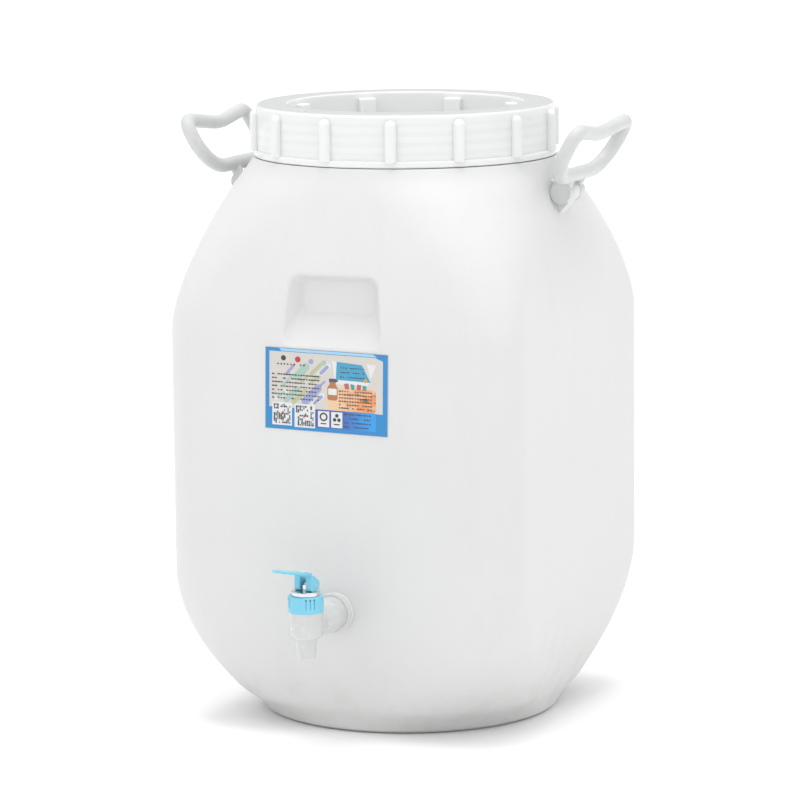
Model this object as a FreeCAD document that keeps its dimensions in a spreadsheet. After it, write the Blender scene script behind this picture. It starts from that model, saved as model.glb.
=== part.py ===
"""Square plastic fermenting bucket with a screw cap, two swing handles and a lever tap.

Frame: millimetres, +Z up, origin at the centre of the base. The tap, the label and one
hand grip are on the -Y face, and the two handles are on the -X and +X shoulders.
"""
import FreeCAD
import Part
import Sketcher
import math
import os

Vector = FreeCAD.Vector
Rotation = FreeCAD.Rotation
Placement = FreeCAD.Placement

# ---------------------------------------------------------------- driving dimensions
DIMENSIONS = [
    # bucket shell
    ("half_width", 162.0, "centre to a flat side"),
    ("corner_radius", 36.0, "vertical corner between two flat sides"),
    ("wall", 3.0, "blown wall thickness"),
    ("heel_top", 3.2, "height where the heel meets the lower curve"),
    ("heel_radius_top", 129.0, "radius at the top of the heel"),
    ("foot_radius", 121.0, "outer radius of the ring that stands on the floor"),
    ("foot_inner_radius", 104.0, "inner radius of the standing ring"),
    ("centre_pad_radius", 42.0, "flat pad in the middle of the base"),
    ("base_hollow", 2.5, "depth of the hollow ring under the base"),
    ("floor_top", 7.0, "height of the inside floor"),
    ("straight_low", 135.0, "height where the flat sides begin"),
    ("straight_high", 345.0, "height where the flat sides end"),
    ("shoulder_top", 484.5, "height of the deck round the neck"),
    ("shoulder_radius", 131.3, "radius of the deck round the neck"),
    ("cavity_top", 479.0, "height of the inside ceiling"),
    # neck and its thread
    ("neck_radius", 120.5, "outside radius of the neck"),
    ("neck_bore", 114.0, "inside radius of the neck"),
    ("neck_top", 520.5, "height of the neck's rim"),
    ("thread_pitch", 10.0, "rise of the cap per turn"),
    ("thread_low", 491.0, "height of the neck thread's lower end"),
    ("thread_drop", 3.6, "cap thread's place below the neck thread"),
    ("thread_root", 4.2, "thread ridge height at its root"),
    ("thread_crest", 2.4, "thread ridge height at its crest"),
    ("neck_crest", 124.4, "radius of the neck thread's crest"),
    ("cap_crest", 122.0, "radius of the cap thread's crest"),
    # hand grip pressed into the front and the back
    ("grip_half_width", 45.0, "half width of the grip's opening"),
    ("grip_low", 337.0, "lower edge of the grip's opening"),
    ("grip_high", 401.0, "upper edge of the grip's opening"),
    ("grip_floor_half", 33.0, "half width of the grip's flat back"),
    ("grip_floor_low", 364.0, "lower edge of the grip's flat back"),
    ("grip_floor_high", 392.0, "upper edge of the grip's flat back"),
    ("grip_depth", 17.0, "depth of the grip behind the flat side"),
    ("grip_round", 9.0, "corner radius of the grip"),
    ("grip_mouth_round", 4.0, "rounding of the grip's mouth"),
    ("grip_floor_round", 3.0, "rounding of the grip's flat back"),
    # handle pivots
    ("pivot_out", 150.0, "handle pivot from the centre"),
    ("pivot_height", 457.0, "handle pivot above the base"),
    ("lug_half", 7.1, "half width of the pivot lug"),
    ("lug_radius", 9.0, "radius of the lug round the pivot"),
    ("lug_root", 122.0, "where the lug meets the shoulder, from the centre"),
    ("lug_root_top", 472.0, "top of the lug at its root"),
    ("lug_root_low", 432.0, "bottom of the lug"),
    ("trunnion_radius", 5.0, "radius of the trunnion"),
    ("trunnion_half", 16.0, "half length across both trunnions"),
    ("hub_radius", 9.3, "outside radius of a handle hub"),
    ("hub_inner", 7.5, "inner end of a handle hub from the middle"),
    ("hub_outer", 17.6, "outer end of a handle hub from the middle"),
    ("hub_clearance", 0.05, "radial clearance of hub on trunnion"),
    ("handle_lean", 29.5, "outward lean of a handle at rest, degrees"),
    ("bar_radius", 6.2, "radius of the handle's bar"),
    ("leg_radius", 5.0, "radius of the handle's legs"),
    ("leg_half", 13.2, "half spacing of the legs at the lower rail"),
    ("rail_height", 18.0, "lower rail above the pivot"),
    ("rail_half", 64.0, "half width at the lower rail"),
    ("top_height", 66.0, "handle's top corners above the pivot"),
    ("top_half", 61.0, "half width at the top corners"),
    ("sag_height", 57.0, "middle of the bar's sag before rounding"),
    ("sag_round", 105.0, "bend radius at the middle of the bar"),
    ("horn_round", 10.0, "bend radius at the handle's top corners"),
    ("rail_round", 30.0, "bend radius at the handle's lower corners"),
    # screw cap
    ("cap_top", 530.0, "top of the cap"),
    ("cap_low", 485.0, "bottom of the cap"),
    ("cap_plate", 4.0, "thickness of the cap's top ring"),
    ("cap_radius", 129.0, "outside radius of the cap's skirt"),
    ("cap_inner", 126.0, "inside radius of the cap's skirt"),
    ("cap_lip_radius", 131.2, "radius of the cap's bottom lip"),
    ("cap_lip_top", 491.0, "top of the cap's bottom lip"),
    ("dish_radius", 102.0, "radius of the cap's sunk middle"),
    ("dish_floor", 506.0, "floor of the cap's sunk middle"),
    ("rib_count", 14, "grip ribs round the cap"),
    ("rib_width", 10.0, "width of a grip rib"),
    ("rib_radius", 135.0, "radius of the ribs' outer faces"),
    ("rib_top", 525.5, "top of the grip ribs"),
    ("rib_phase", 17.6, "turn of the first rib from the front, degrees"),
    ("key_count", 8, "spanner keys in the cap's sunk middle"),
    ("key_width", 15.0, "width of a spanner key"),
    ("key_depth", 7.0, "how far a key stands in from the wall"),
    ("key_top", 525.0, "top of the spanner keys"),
    ("key_phase", 25.4, "turn of the first key from the first rib, degrees"),
    # gasket and inner lid
    ("gasket_outer", 125.6, "outside radius of the gasket"),
    ("gasket_inner", 109.0, "inside radius of the gasket"),
    ("lid_flange", 3.0, "thickness of the inner lid's flange"),
    ("lid_flange_radius", 121.2, "radius of the inner lid's flange"),
    ("lid_wall_radius", 113.4, "outside radius of the inner lid's wall"),
    ("lid_floor", 482.0, "floor of the inner lid"),
    ("lid_grip_length", 96.0, "length of the inner lid's grip"),
    ("lid_grip_width", 14.0, "width of the inner lid's grip"),
    ("lid_grip_height", 16.0, "height of the inner lid's grip"),
    # label
    ("label_width", 113.0, "width of the label"),
    ("label_height", 70.0, "height of the label"),
    ("label_x", -5.0, "label centre across"),
    ("label_z", 300.0, "label centre up"),
    ("label_tilt", 1.0, "label's clockwise tilt, degrees"),
    ("label_thickness", 0.3, "thickness of the label"),
    # tap
    ("tap_height", 112.0, "height of the tap's shank"),
    ("tap_reach", 58.0, "tap's upright axis in front of the flat side"),
    ("pad_proud", 0.6, "flat seat for the tap, proud of the wall"),
    ("seat_radius", 17.6, "radius of the flat seat for the tap"),
    ("pad_radius", 21.0, "radius of the thick wall behind the seat"),
    ("pad_wall", 7.2, "wall thickness at the tap's seat"),
    ("wall_hole", 10.9, "radius of the hole for the tap's shank"),
    ("shank_radius", 10.4, "radius of the tap's shank"),
    ("shank_bore", 6.0, "radius of the waterway in the shank"),
    ("shank_end", 84.0, "inner end of the shank from the tap's axis"),
    ("washer_outer", 17.0, "outside radius of the wall washers"),
    ("washer_thickness", 2.5, "thickness of the wall washers"),
    ("flange_radius", 17.2, "radius of the tap's wall flange"),
    ("flange_thickness", 4.0, "thickness of the tap's wall flange"),
    ("boss_radius", 14.6, "radius of the boss in front of the flange"),
    ("boss_front", 35.0, "front of the boss from the tap's axis"),
    ("bridge_radius", 9.4, "radius of the bridge from the barrel to the boss"),
    ("bridge_end", 24.0, "end of the bridge from the tap's axis"),
    ("nut_flats", 27.0, "width of the lock nut across its flats"),
    ("nut_thickness", 8.5, "thickness of the lock nut"),
    ("barrel_radius", 14.5, "radius of the barrel at the collar"),
    ("barrel_low_radius", 13.5, "radius of the barrel at its foot"),
    ("barrel_low", 103.5, "bottom of the barrel"),
    ("collar_low", 124.0, "bottom of the collar"),
    ("collar_top", 138.0, "top of the collar"),
    ("collar_radius", 15.0, "radius of the collar"),
    ("collar_plate", 4.0, "thickness of the collar's top"),
    ("collar_hole", 7.6, "radius of the hole in the collar's top"),
    ("groove_width", 1.1, "width of a grip groove in the collar"),
    ("groove_height", 8.5, "height of a grip groove in the collar"),
    ("groove_depth", 0.7, "depth of a grip groove in the collar"),
    ("groove_groups", 4, "groups of three grip grooves round the collar"),
    ("groove_step", 13.5, "angle between neighbouring grooves, degrees"),
    ("groove_phase", 38.5, "turn of the first group of grooves, degrees"),
    ("body_neck_radius", 12.4, "radius of the tap body inside the collar"),
    ("body_neck_top", 131.0, "top of the tap body inside the collar"),
    ("chamber_radius", 10.2, "radius of the valve chamber"),
    ("seat_height", 104.0, "height of the valve seat"),
    ("outlet_bore", 5.5, "radius of the outlet bore"),
    ("nozzle_low", 84.4, "bottom of the nozzle"),
    ("nozzle_top_radius", 9.25, "radius of the nozzle at its root"),
    ("nozzle_low_radius", 7.65, "radius of the nozzle at its mouth"),
    ("stem_radius", 3.0, "radius of the valve stem"),
    ("stem_low_radius", 2.4, "radius of the stem inside the plug"),
    ("o_ring_wire", 0.9, "radius of the stem's O-ring in section"),
    ("o_ring_height", 132.0, "height of the stem's O-ring"),
    ("o_ring_groove", 1.9, "depth of the O-ring's groove in the guide"),
    ("disc_radius", 12.2, "radius of the lever's seat disc"),
    ("disc_low", 138.2, "bottom of the lever's seat disc"),
    ("disc_top", 141.6, "top of the lever's seat disc"),
    ("pin_height", 146.65, "height of the lever's pin"),
    ("pin_radius", 1.5, "radius of the lever's pin"),
    ("eye_radius", 3.6, "radius of the stem's eye"),
    ("eye_half", 2.9, "half width of the stem's eye"),
    ("pin_back", 3.0, "lever's pin behind the tap's axis"),
    ("cheek_gap", 3.3, "inner face of a cheek from the middle"),
    ("cheek_outer", 8.8, "outer face of a cheek from the middle"),
    ("cheek_radius", 5.0, "radius of the cheek round the pin"),
    ("toe_radius", 2.4, "radius of the cheek's rocking toe"),
    ("toe_reach", 4.7, "centre of the rocking toe in front of the pin"),
    ("cheek_front", 6.3, "front of the cheek at its top, in front of the pin"),
    ("cheek_top", 9.2, "top of the cheek above the pin"),
    ("paddle_root", 3.0, "start of the paddle in front of the pin"),
    ("paddle_tip", 39.5, "tip of the paddle in front of the pin"),
    ("paddle_half", 9.0, "half width of the paddle"),
    ("paddle_thickness", 2.2, "thickness of the paddle"),
    ("paddle_rise", 11.0, "upward slope of the paddle, degrees"),
    ("paddle_base", 8.9, "paddle's middle plane above the pin"),
    ("lever_turn", -103.0, "direction of the lever about the tap's axis, degrees from +X"),
    ("plug_radius", 8.2, "radius of the valve plug's sealing face"),
    ("plug_top", 112.0, "top of the valve plug"),
    ("plug_neck_radius", 4.4, "radius of the valve plug's neck"),
    ("cup_radius", 6.4, "radius of the washer under the spring"),
    ("spring_low", 113.2, "bottom of the spring"),
    ("spring_high", 129.0, "top of the spring"),
    ("spring_radius", 5.2, "mean radius of the spring"),
    ("spring_wire", 0.55, "radius of the spring's wire"),
    ("spring_turns", 5.5, "turns of the spring"),
]

doc = FreeCAD.newDocument("FermentingBucket")
sheet = doc.addObject("Spreadsheet::Sheet", "Dims")
for row, (alias, number, note) in enumerate(DIMENSIONS, start=1):
    sheet.set("A%d" % row, alias)
    sheet.set("B%d" % row, str(number))
    sheet.set("C%d" % row, note)
    sheet.setAlias("B%d" % row, alias)
doc.recompute()

ALIASES = sorted((item[0] for item in DIMENSIONS), key=len, reverse=True)
parts = []


# ---------------------------------------------------------------- small helpers
def dim(alias):
    """One driving dimension as a number."""
    return float(sheet.get(alias))


def bound(text):
    """Turn 'wall + 2' into 'Dims.wall + 2' for use in another object's expression."""
    words = []
    word = ""
    for letter in str(text) + " ":
        if letter.isalnum() or letter == "_":
            word += letter
            continue
        words.append("Dims." + word if word in ALIASES else word)
        words.append(letter)
        word = ""
    return "".join(words).strip()


def value(text):
    """The number that an expression over the sheet's aliases has now."""
    result = sheet.evalExpression(bound(text))
    return float(getattr(result, "Value", result))


def bind(thing, **expressions):
    """Bind properties to the sheet; a double underscore stands for a dot."""
    for key, text in expressions.items():
        thing.setExpression(key.replace("__", "."), bound(text))


def keep(thing, label):
    """Record a finished sub-part under the name of its node."""
    thing.Label = label
    parts.append(thing)
    return thing


def dimension(sketch, kind, name, position, text):
    """Add one named constraint whose value follows the sheet."""
    index = sketch.addConstraint(Sketcher.Constraint(kind, *position, value(text)))
    sketch.renameConstraint(index, name)
    sketch.setExpression("Constraints." + name, bound(text))


def outline(sketch, corners):
    """Closed outline of straight sides; each corner is a pair of expressions."""
    points = [Vector(value(x), value(y), 0) for x, y in corners]
    count = len(points)
    for index, point in enumerate(points):
        sketch.addGeometry(Part.LineSegment(point, points[(index + 1) % count]), False)
    for index, (x, y) in enumerate(corners):
        sketch.addConstraint(Sketcher.Constraint("Coincident", index, 2, (index + 1) % count, 1))
        dimension(sketch, "DistanceX", "x%d" % index, (-1, 1, index, 1), x)
        dimension(sketch, "DistanceY", "y%d" % index, (-1, 1, index, 1), y)


def rounded_rectangle(sketch, left, right, low, high, radius):
    """Closed rectangle with four equal round corners, all five sizes bound to the sheet."""
    x0, x1, y0, y1, r = [value(text) for text in (left, right, low, high, radius)]
    ends = [((x0 + r, y0), (x1 - r, y0)), ((x1, y0 + r), (x1, y1 - r)),
            ((x1 - r, y1), (x0 + r, y1)), ((x0, y1 - r), (x0, y0 + r))]
    centres = [(x1 - r, y0 + r), (x1 - r, y1 - r), (x0 + r, y1 - r), (x0 + r, y0 + r)]
    up = Vector(0, 0, 1)
    for side in range(4):
        start, end = ends[side]
        sketch.addGeometry(Part.LineSegment(Vector(*start, 0), Vector(*end, 0)), False)
        circle = Part.Circle(Vector(*centres[side], 0), up, r)
        first = math.radians(-90 + 90 * side)
        sketch.addGeometry(Part.ArcOfCircle(circle, first, first + math.pi / 2), False)
    for side in range(4):
        line, arc, after = 2 * side, 2 * side + 1, (2 * side + 2) % 8
        sketch.addConstraint(Sketcher.Constraint("Tangent", line, 2, arc, 1))
        sketch.addConstraint(Sketcher.Constraint("Tangent", arc, 2, after, 1))
        direction = "Vertical" if side % 2 else "Horizontal"
        sketch.addConstraint(Sketcher.Constraint(direction, line))
        if side:
            sketch.addConstraint(Sketcher.Constraint("Equal", 1, arc))
    dimension(sketch, "DistanceY", "low", (-1, 1, 0, 1), low)
    dimension(sketch, "DistanceX", "right", (-1, 1, 2, 1), right)
    dimension(sketch, "DistanceY", "high", (-1, 1, 4, 1), high)
    dimension(sketch, "DistanceX", "left", (-1, 1, 6, 1), left)
    dimension(sketch, "Radius", "radius", (1,), radius)


def free_sketch(name, height="0", upright=False, depth="0"):
    """A sketch of its own: level at a height, or upright facing -Y at a depth."""
    sketch = doc.addObject("Sketcher::SketchObject", name)
    if upright:
        sketch.Placement = Placement(Vector(0, value(depth), 0), Rotation(Vector(1, 0, 0), 90))
        bind(sketch, Placement__Base__y=depth)
    else:
        sketch.Placement = Placement(Vector(0, 0, value(height)), Rotation())
        bind(sketch, Placement__Base__z=height)
    return sketch


def plane_of(body, role):
    """One of a body's own origin planes."""
    return next(item for item in body.Origin.OriginFeatures if item.Role == role)


def body_sketch(body, name, role, height="0"):
    """A sketch attached to one of its body's origin planes, moved along the normal."""
    sketch = body.newObject("Sketcher::SketchObject", name)
    sketch.AttachmentSupport = [(plane_of(body, role), "")]
    sketch.MapMode = "FlatFace"
    bind(sketch, AttachmentOffset__Base__z=height)
    return sketch


def revolved(name, corners):
    """A body turned about Z from an outline of (radius, height) pairs."""
    body = doc.addObject("PartDesign::Body", name)
    sketch = body_sketch(body, name + "_outline", "XZ_Plane")
    outline(sketch, corners)
    turn = body.newObject("PartDesign::Revolution", name + "_turn")
    turn.Profile = sketch
    turn.ReferenceAxis = (sketch, ["V_Axis"])
    turn.Angle = 360
    body.Tip = turn
    doc.recompute()
    return body


def edges_where(shape, test):
    """Names of the edges whose two ends and middle all pass the test."""
    names = []
    for index, edge in enumerate(shape.Edges, start=1):
        middle = edge.valueAt((edge.FirstParameter + edge.LastParameter) / 2)
        spots = [vertex.Point for vertex in edge.Vertexes] + [middle]
        if all(test(spot) for spot in spots):
            names.append("Edge%d" % index)
    return names


def ring_edges(shape, rings):
    """Names of the edges that lie on the given (radius, height) circles."""
    def on_ring(spot):
        radius = math.hypot(spot.x, spot.y)
        return any(abs(radius - r) < 0.01 and abs(spot.z - z) < 0.01 for r, z in rings)
    return edges_where(shape, on_ring)


def rounded(body, name, names, radius):
    """Round the named edges of a body's tip."""
    base = body.Tip
    fillet = body.newObject("PartDesign::Fillet", name)
    fillet.Base = (base, names)
    bind(fillet, Radius=radius)
    body.Tip = fillet
    doc.recompute()
    return fillet


def cylinder(name, radius, length, axis="z", **position):
    """A cylinder along x, y or z; the position is where its first end's centre lies."""
    thing = doc.addObject("Part::Cylinder", name)
    turns = {"z": Rotation(), "y": Rotation(Vector(1, 0, 0), -90), "x": Rotation(Vector(0, 1, 0), 90)}
    thing.Placement = Placement(Vector(), turns[axis])
    bind(thing, Radius=radius, Height=length)
    for key, text in position.items():
        bind(thing, **{"Placement__Base__" + key: text})
    return thing


def block(name, x0, x1, y0, y1, z0, z1):
    """A box between three pairs of planes."""
    thing = doc.addObject("Part::Box", name)
    bind(thing, Length="(%s) - (%s)" % (x1, x0), Width="(%s) - (%s)" % (y1, y0))
    bind(thing, Height="(%s) - (%s)" % (z1, z0))
    bind(thing, Placement__Base__x=x0, Placement__Base__y=y0, Placement__Base__z=z0)
    return thing


def fuse(name, pieces):
    """Join pieces into one solid."""
    thing = doc.addObject("Part::MultiFuse", name)
    thing.Shapes = pieces
    thing.Refine = True
    return thing


def cut(name, base, tool):
    """Take a tool out of a base."""
    thing = doc.addObject("Part::Cut", name)
    thing.Base = base
    thing.Tool = tool
    return thing


def loft(name, sections, ruled=False):
    """A closed solid through level or upright sections."""
    thing = doc.addObject("Part::Loft", name)
    thing.Sections = sections
    thing.Solid = True
    thing.Ruled = ruled
    return thing


def extrude(name, sketch, direction, length, symmetric=False):
    """A closed sketch pushed along a direction."""
    thing = doc.addObject("Part::Extrusion", name)
    thing.Base = sketch
    thing.DirMode = "Custom"
    thing.Dir = direction
    thing.Solid = True
    thing.Symmetric = symmetric
    bind(thing, LengthFwd=length)
    return thing


def thread_ridge(name, inner, outer, tip_inside, start, turns):
    """One helical ridge, tapered towards its crest."""
    helix = doc.addObject("Part::Helix", name + "_path")
    bind(helix, Pitch="thread_pitch", Height="thread_pitch * %s" % turns, Radius=inner)
    bind(helix, Placement__Base__z=start)
    section = free_sketch(name + "_section", upright=True)
    bind(section, Placement__Base__z=start)
    at_inner, at_outer = ("thread_crest", "thread_root") if tip_inside else ("thread_root", "thread_crest")
    outline(section, [(inner, "-%s / 2" % at_inner), (outer, "-%s / 2" % at_outer),
                      (outer, "%s / 2" % at_outer), (inner, "%s / 2" % at_inner)])
    ridge = doc.addObject("Part::Sweep", name)
    ridge.Sections = [section]
    ridge.Spine = (helix, ["Edge1"])
    ridge.Solid = True
    ridge.Frenet = True
    return ridge


# ---------------------------------------------------------------- bucket body
SHELL_STEPS = [0.05, 0.12, 0.22, 0.34, 0.47, 0.6, 0.73, 0.86, 1.0]
BASE_DRAW = "(half_width - heel_radius_top)"
SHOULDER_DRAW = "(half_width - shoulder_radius)"


def shell_section(name, height, half, radius):
    """One level rounded square of the shell."""
    sketch = free_sketch(name, height)
    rounded_rectangle(sketch, "-(%s)" % half, half, "-(%s)" % half, half, radius)
    return sketch


def shell(name, low, high, inset):
    """The bucket's outer shape, or with an inset its hollow: round, square, then round again."""
    base = []
    for step in reversed([0.0] + SHELL_STEPS):
        half = "half_width - %s * %.3f ^ 2.2 - %s" % (BASE_DRAW, step, inset)
        radius = "corner_radius + (heel_radius_top - 1 - corner_radius) * %.3f ^ 1.55 - %s" % (step, inset)
        height = "straight_low - (straight_low - %s) * %.3f" % (low, step)
        base.append(shell_section("%s_base_%d" % (name, len(base)), height, half, radius))
    shoulder = []
    for step in [0.0] + SHELL_STEPS:
        half = "half_width - %s * %.3f ^ 1.45 - %s" % (SHOULDER_DRAW, step, inset)
        radius = "corner_radius + (shoulder_radius - 1 - corner_radius) * %.3f ^ 1.67 - %s" % (step, inset)
        height = "straight_high + (%s - straight_high) * %.3f" % (high, step)
        shoulder.append(shell_section("%s_shoulder_%d" % (name, len(shoulder)), height, half, radius))
    return fuse(name, [loft(name + "_lower", base), loft(name + "_upper", shoulder),
                       loft(name + "_sides", [base[-1], shoulder[0]], ruled=True)])


def hand_grip(name, margin, back=False):
    """The tapered hollow of a hand grip, grown by a margin for the wall behind it."""
    opening = free_sketch(name + "_opening", upright=True, depth="-half_width - 1")
    rounded_rectangle(opening, "-grip_half_width - 1 - %s" % margin, "grip_half_width + 1 + %s" % margin,
                      "grip_low - 1.6 - %s" % margin, "grip_high + 0.6 + %s" % margin, "grip_round")
    floor = free_sketch(name + "_floor", upright=True, depth="-half_width + grip_depth + %s" % margin)
    rounded_rectangle(floor, "-grip_floor_half - %s" % margin, "grip_floor_half + %s" % margin,
                      "grip_floor_low - %s" % margin, "grip_floor_high + %s" % margin, "grip_round - 2")
    hollow = loft(name, [opening, floor], ruled=True)
    if back:
        hollow.Placement = Placement(Vector(), Rotation(Vector(0, 0, 1), 180))
    return hollow


def in_grip(spot, depth_test):
    """Whether a point lies in the region of a grip and its depth passes the test."""
    across = abs(spot.x) < dim("grip_half_width") + 5
    return across and dim("grip_low") - 7 < spot.z < dim("grip_high") + 4 and depth_test(abs(spot.y))


def softened(name, base, depth_test, radius):
    """Round the edges of both grips that lie at a certain depth."""
    doc.recompute()
    names = edges_where(base.Shape, lambda spot: in_grip(spot, depth_test))
    fillet = doc.addObject("Part::Fillet", name)
    fillet.Base = base
    fillet.Edges = [(int(edge[len("Edge"):]), value(radius), value(radius)) for edge in names]
    return fillet


def with_grips(solid):
    """Press a soft-edged hand grip into the front and the back."""
    hollows = fuse("grips", [hand_grip("front_grip", "0"), hand_grip("back_grip", "0", back=True)])
    back = dim("half_width") - dim("grip_depth")
    mouths = softened("grip_mouths", cut("sharp_grips", solid, hollows), lambda y: y > back + 5,
                      "grip_mouth_round")
    return softened("grip_floors", mouths, lambda y: abs(y - back) < 0.01, "grip_floor_round")


def pivot_lug(name, side):
    """Solid lug on one shoulder with its two trunnions."""
    sketch = free_sketch(name + "_outline", upright=True)
    out = "%d * " % side
    outline(sketch, [(out + "lug_root", "lug_root_top"),
                     (out + "(pivot_out - 6)", "pivot_height + lug_radius - 1.4"),
                     (out + "(pivot_out + lug_radius * 0.69)", "pivot_height - lug_radius * 0.6"),
                     (out + "(pivot_out - 10)", "lug_root_low"), (out + "lug_root", "lug_root_low")])
    web = extrude(name + "_web", sketch, Vector(0, 1, 0), "2 * lug_half", symmetric=True)
    knuckle = cylinder(name + "_knuckle", "lug_radius", "2 * lug_half", "y",
                       x=out + "pivot_out", y="-lug_half", z="pivot_height")
    trunnions = cylinder(name + "_trunnions", "trunnion_radius", "2 * trunnion_half", "y",
                         x=out + "pivot_out", y="-trunnion_half", z="pivot_height")
    return [web, knuckle, trunnions]


def bucket_body():
    outer = shell("outer_shell", "heel_top", "shoulder_top", "0")
    hollow = shell("inner_shell", "floor_top", "cavity_top", "wall")
    foot = revolved("foot", [("0", "0"), ("centre_pad_radius", "0"), ("centre_pad_radius + 3", "base_hollow"),
                             ("foot_inner_radius - 3", "base_hollow"), ("foot_inner_radius", "0"),
                             ("foot_radius", "0"),
                             ("foot_radius + 4.6", "heel_top * 0.3"), ("heel_radius_top", "heel_top"),
                             ("heel_radius_top - 4", "heel_top + 2"), ("0", "heel_top + 2")])
    neck = cylinder("neck", "neck_radius", "neck_top - cavity_top", z="cavity_top")
    thread = thread_ridge("neck_thread", "neck_radius - 0.8", "neck_crest", False, "thread_low", "1")
    tap_pad = cylinder("tap_pad", "seat_radius", "pad_wall", "y", y="-half_width - pad_proud", z="tap_height")
    solid = fuse("outer_solid", [outer, foot, neck, thread, tap_pad]
                 + pivot_lug("left_lug", -1) + pivot_lug("right_lug", 1))

    inner_pad = cylinder("inner_pad", "pad_radius", "pad_wall + 8", "y",
                         y="-half_width - pad_proud - 8", z="tap_height")
    kept = fuse("kept_walls", [hand_grip("front_grip_wall", "wall"),
                               hand_grip("back_grip_wall", "wall", back=True), inner_pad])
    mouth = cylinder("mouth", "neck_bore", "neck_top - cavity_top + 20", z="cavity_top - 10")
    hole = cylinder("tap_hole", "wall_hole", "40", "y", y="-half_width - 10", z="tap_height")
    space = fuse("open_space", [cut("inside", hollow, kept), mouth, hole])
    keep(cut("bucket", with_grips(solid), space), "bucket_body")


# ---------------------------------------------------------------- screw cap, gasket, inner lid
def cap_blank():
    """The cap turned about its axis, before its ribs, keys and thread."""
    corners = [("0", "dish_floor"), ("dish_radius", "dish_floor"), ("dish_radius", "cap_top"),
               ("cap_radius", "cap_top"), ("cap_radius", "cap_lip_top"),
               ("cap_lip_radius", "cap_lip_top"), ("cap_lip_radius", "cap_low"),
               ("cap_inner", "cap_low"), ("cap_inner", "cap_top - cap_plate"),
               ("dish_radius + 3.5", "cap_top - cap_plate"),
               ("dish_radius + 3.5", "dish_floor - 3.5"), ("0", "dish_floor - 3.5")]
    body = revolved("cap_blank", corners)
    rim = (dim("cap_radius"), dim("cap_top"))
    lip = dim("cap_lip_radius")
    rounded(body, "cap_rim_round", ring_edges(body.Shape, [rim]), "3.5")
    inner_rim = (dim("dish_radius"), dim("cap_top"))
    rounded(body, "cap_dish_round", ring_edges(body.Shape, [inner_rim]), "2")
    lip_rings = [(lip, dim("cap_lip_top")), (lip, dim("cap_low"))]
    rounded(body, "cap_lip_round", ring_edges(body.Shape, lip_rings), "1.5")
    return body


def round_the_cap(thing, turn, distance, height):
    """Place a piece at a distance from the cap's axis, turned about that axis."""
    rotation = Rotation(Vector(0, 0, 1), turn)
    thing.Placement = Placement(rotation.multVec(Vector(distance, 0, height)), rotation)


def cap_ribs():
    """Half-round grip ribs with domed tops, evenly spaced round the skirt."""
    ribs = []
    count = int(dim("rib_count"))
    half = dim("rib_width") / 2
    distance = dim("rib_radius") - half
    for number in range(count):
        turn = dim("rib_phase") - 90 + number * 360 / count
        column = doc.addObject("Part::Cylinder", "rib_column_%d" % number)
        bind(column, Radius="rib_width / 2", Height="rib_top - rib_width / 2 - cap_lip_top + 1")
        round_the_cap(column, turn, distance, dim("cap_lip_top") - 1)
        dome = doc.addObject("Part::Sphere", "rib_dome_%d" % number)
        bind(dome, Radius="rib_width / 2")
        round_the_cap(dome, turn, distance, dim("rib_top") - half)
        ribs += [column, dome]
    return ribs


def cap_keys():
    """Blocks inside the sunk middle that a spanner or a stick turns the cap by."""
    keys = []
    count = int(dim("key_count"))
    for number in range(count):
        turn = dim("rib_phase") + dim("key_phase") - 90 + number * 360 / count
        key = doc.addObject("Part::Box", "key_block_%d" % number)
        bind(key, Length="key_depth + 1.5", Width="key_width", Height="key_top - dish_floor + 1")
        rotation = Rotation(Vector(0, 0, 1), turn)
        corner = Vector(dim("dish_radius") - dim("key_depth"), -dim("key_width") / 2, dim("dish_floor") - 1)
        key.Placement = Placement(rotation.multVec(corner), rotation)
        rounded_key = doc.addObject("Part::Fillet", "key_%d" % number)
        rounded_key.Base = key
        doc.recompute()
        keys.append(rounded_key)
        rounded_key.Edges = key_edges(key, rotation)
    return keys


def key_edges(key, rotation):
    """The key's two inner upright edges and its three exposed top edges."""
    chosen = []
    inner = dim("dish_radius") - dim("key_depth")
    for number, edge in enumerate(key.Shape.Edges, start=1):
        spots = [rotation.inverted().multVec(vertex.Point) for vertex in edge.Vertexes]
        on_inner = all(abs(spot.x - inner) < 0.01 for spot in spots)
        on_top = all(abs(spot.z - dim("key_top")) < 0.01 for spot in spots)
        on_outer = all(spot.x > inner + 1 for spot in spots)
        upright = abs(spots[0].z - spots[1].z) > 1
        if (on_inner and upright) or (on_top and not on_outer):
            chosen.append((number, 1.5, 1.5))
    return chosen


def screw_cap():
    thread = thread_ridge("cap_thread", "cap_crest", "cap_inner + 0.8", True,
                          "thread_low - thread_drop", "1")
    keep(fuse("cap", [cap_blank(), thread] + cap_ribs() + cap_keys()), "screw_cap")


def cap_gasket():
    corners = [("gasket_inner", "neck_top + lid_flange"), ("gasket_outer", "neck_top + lid_flange"),
               ("gasket_outer", "cap_top - cap_plate"), ("gasket_inner", "cap_top - cap_plate")]
    keep(revolved("gasket", corners), "cap_gasket")


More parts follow.
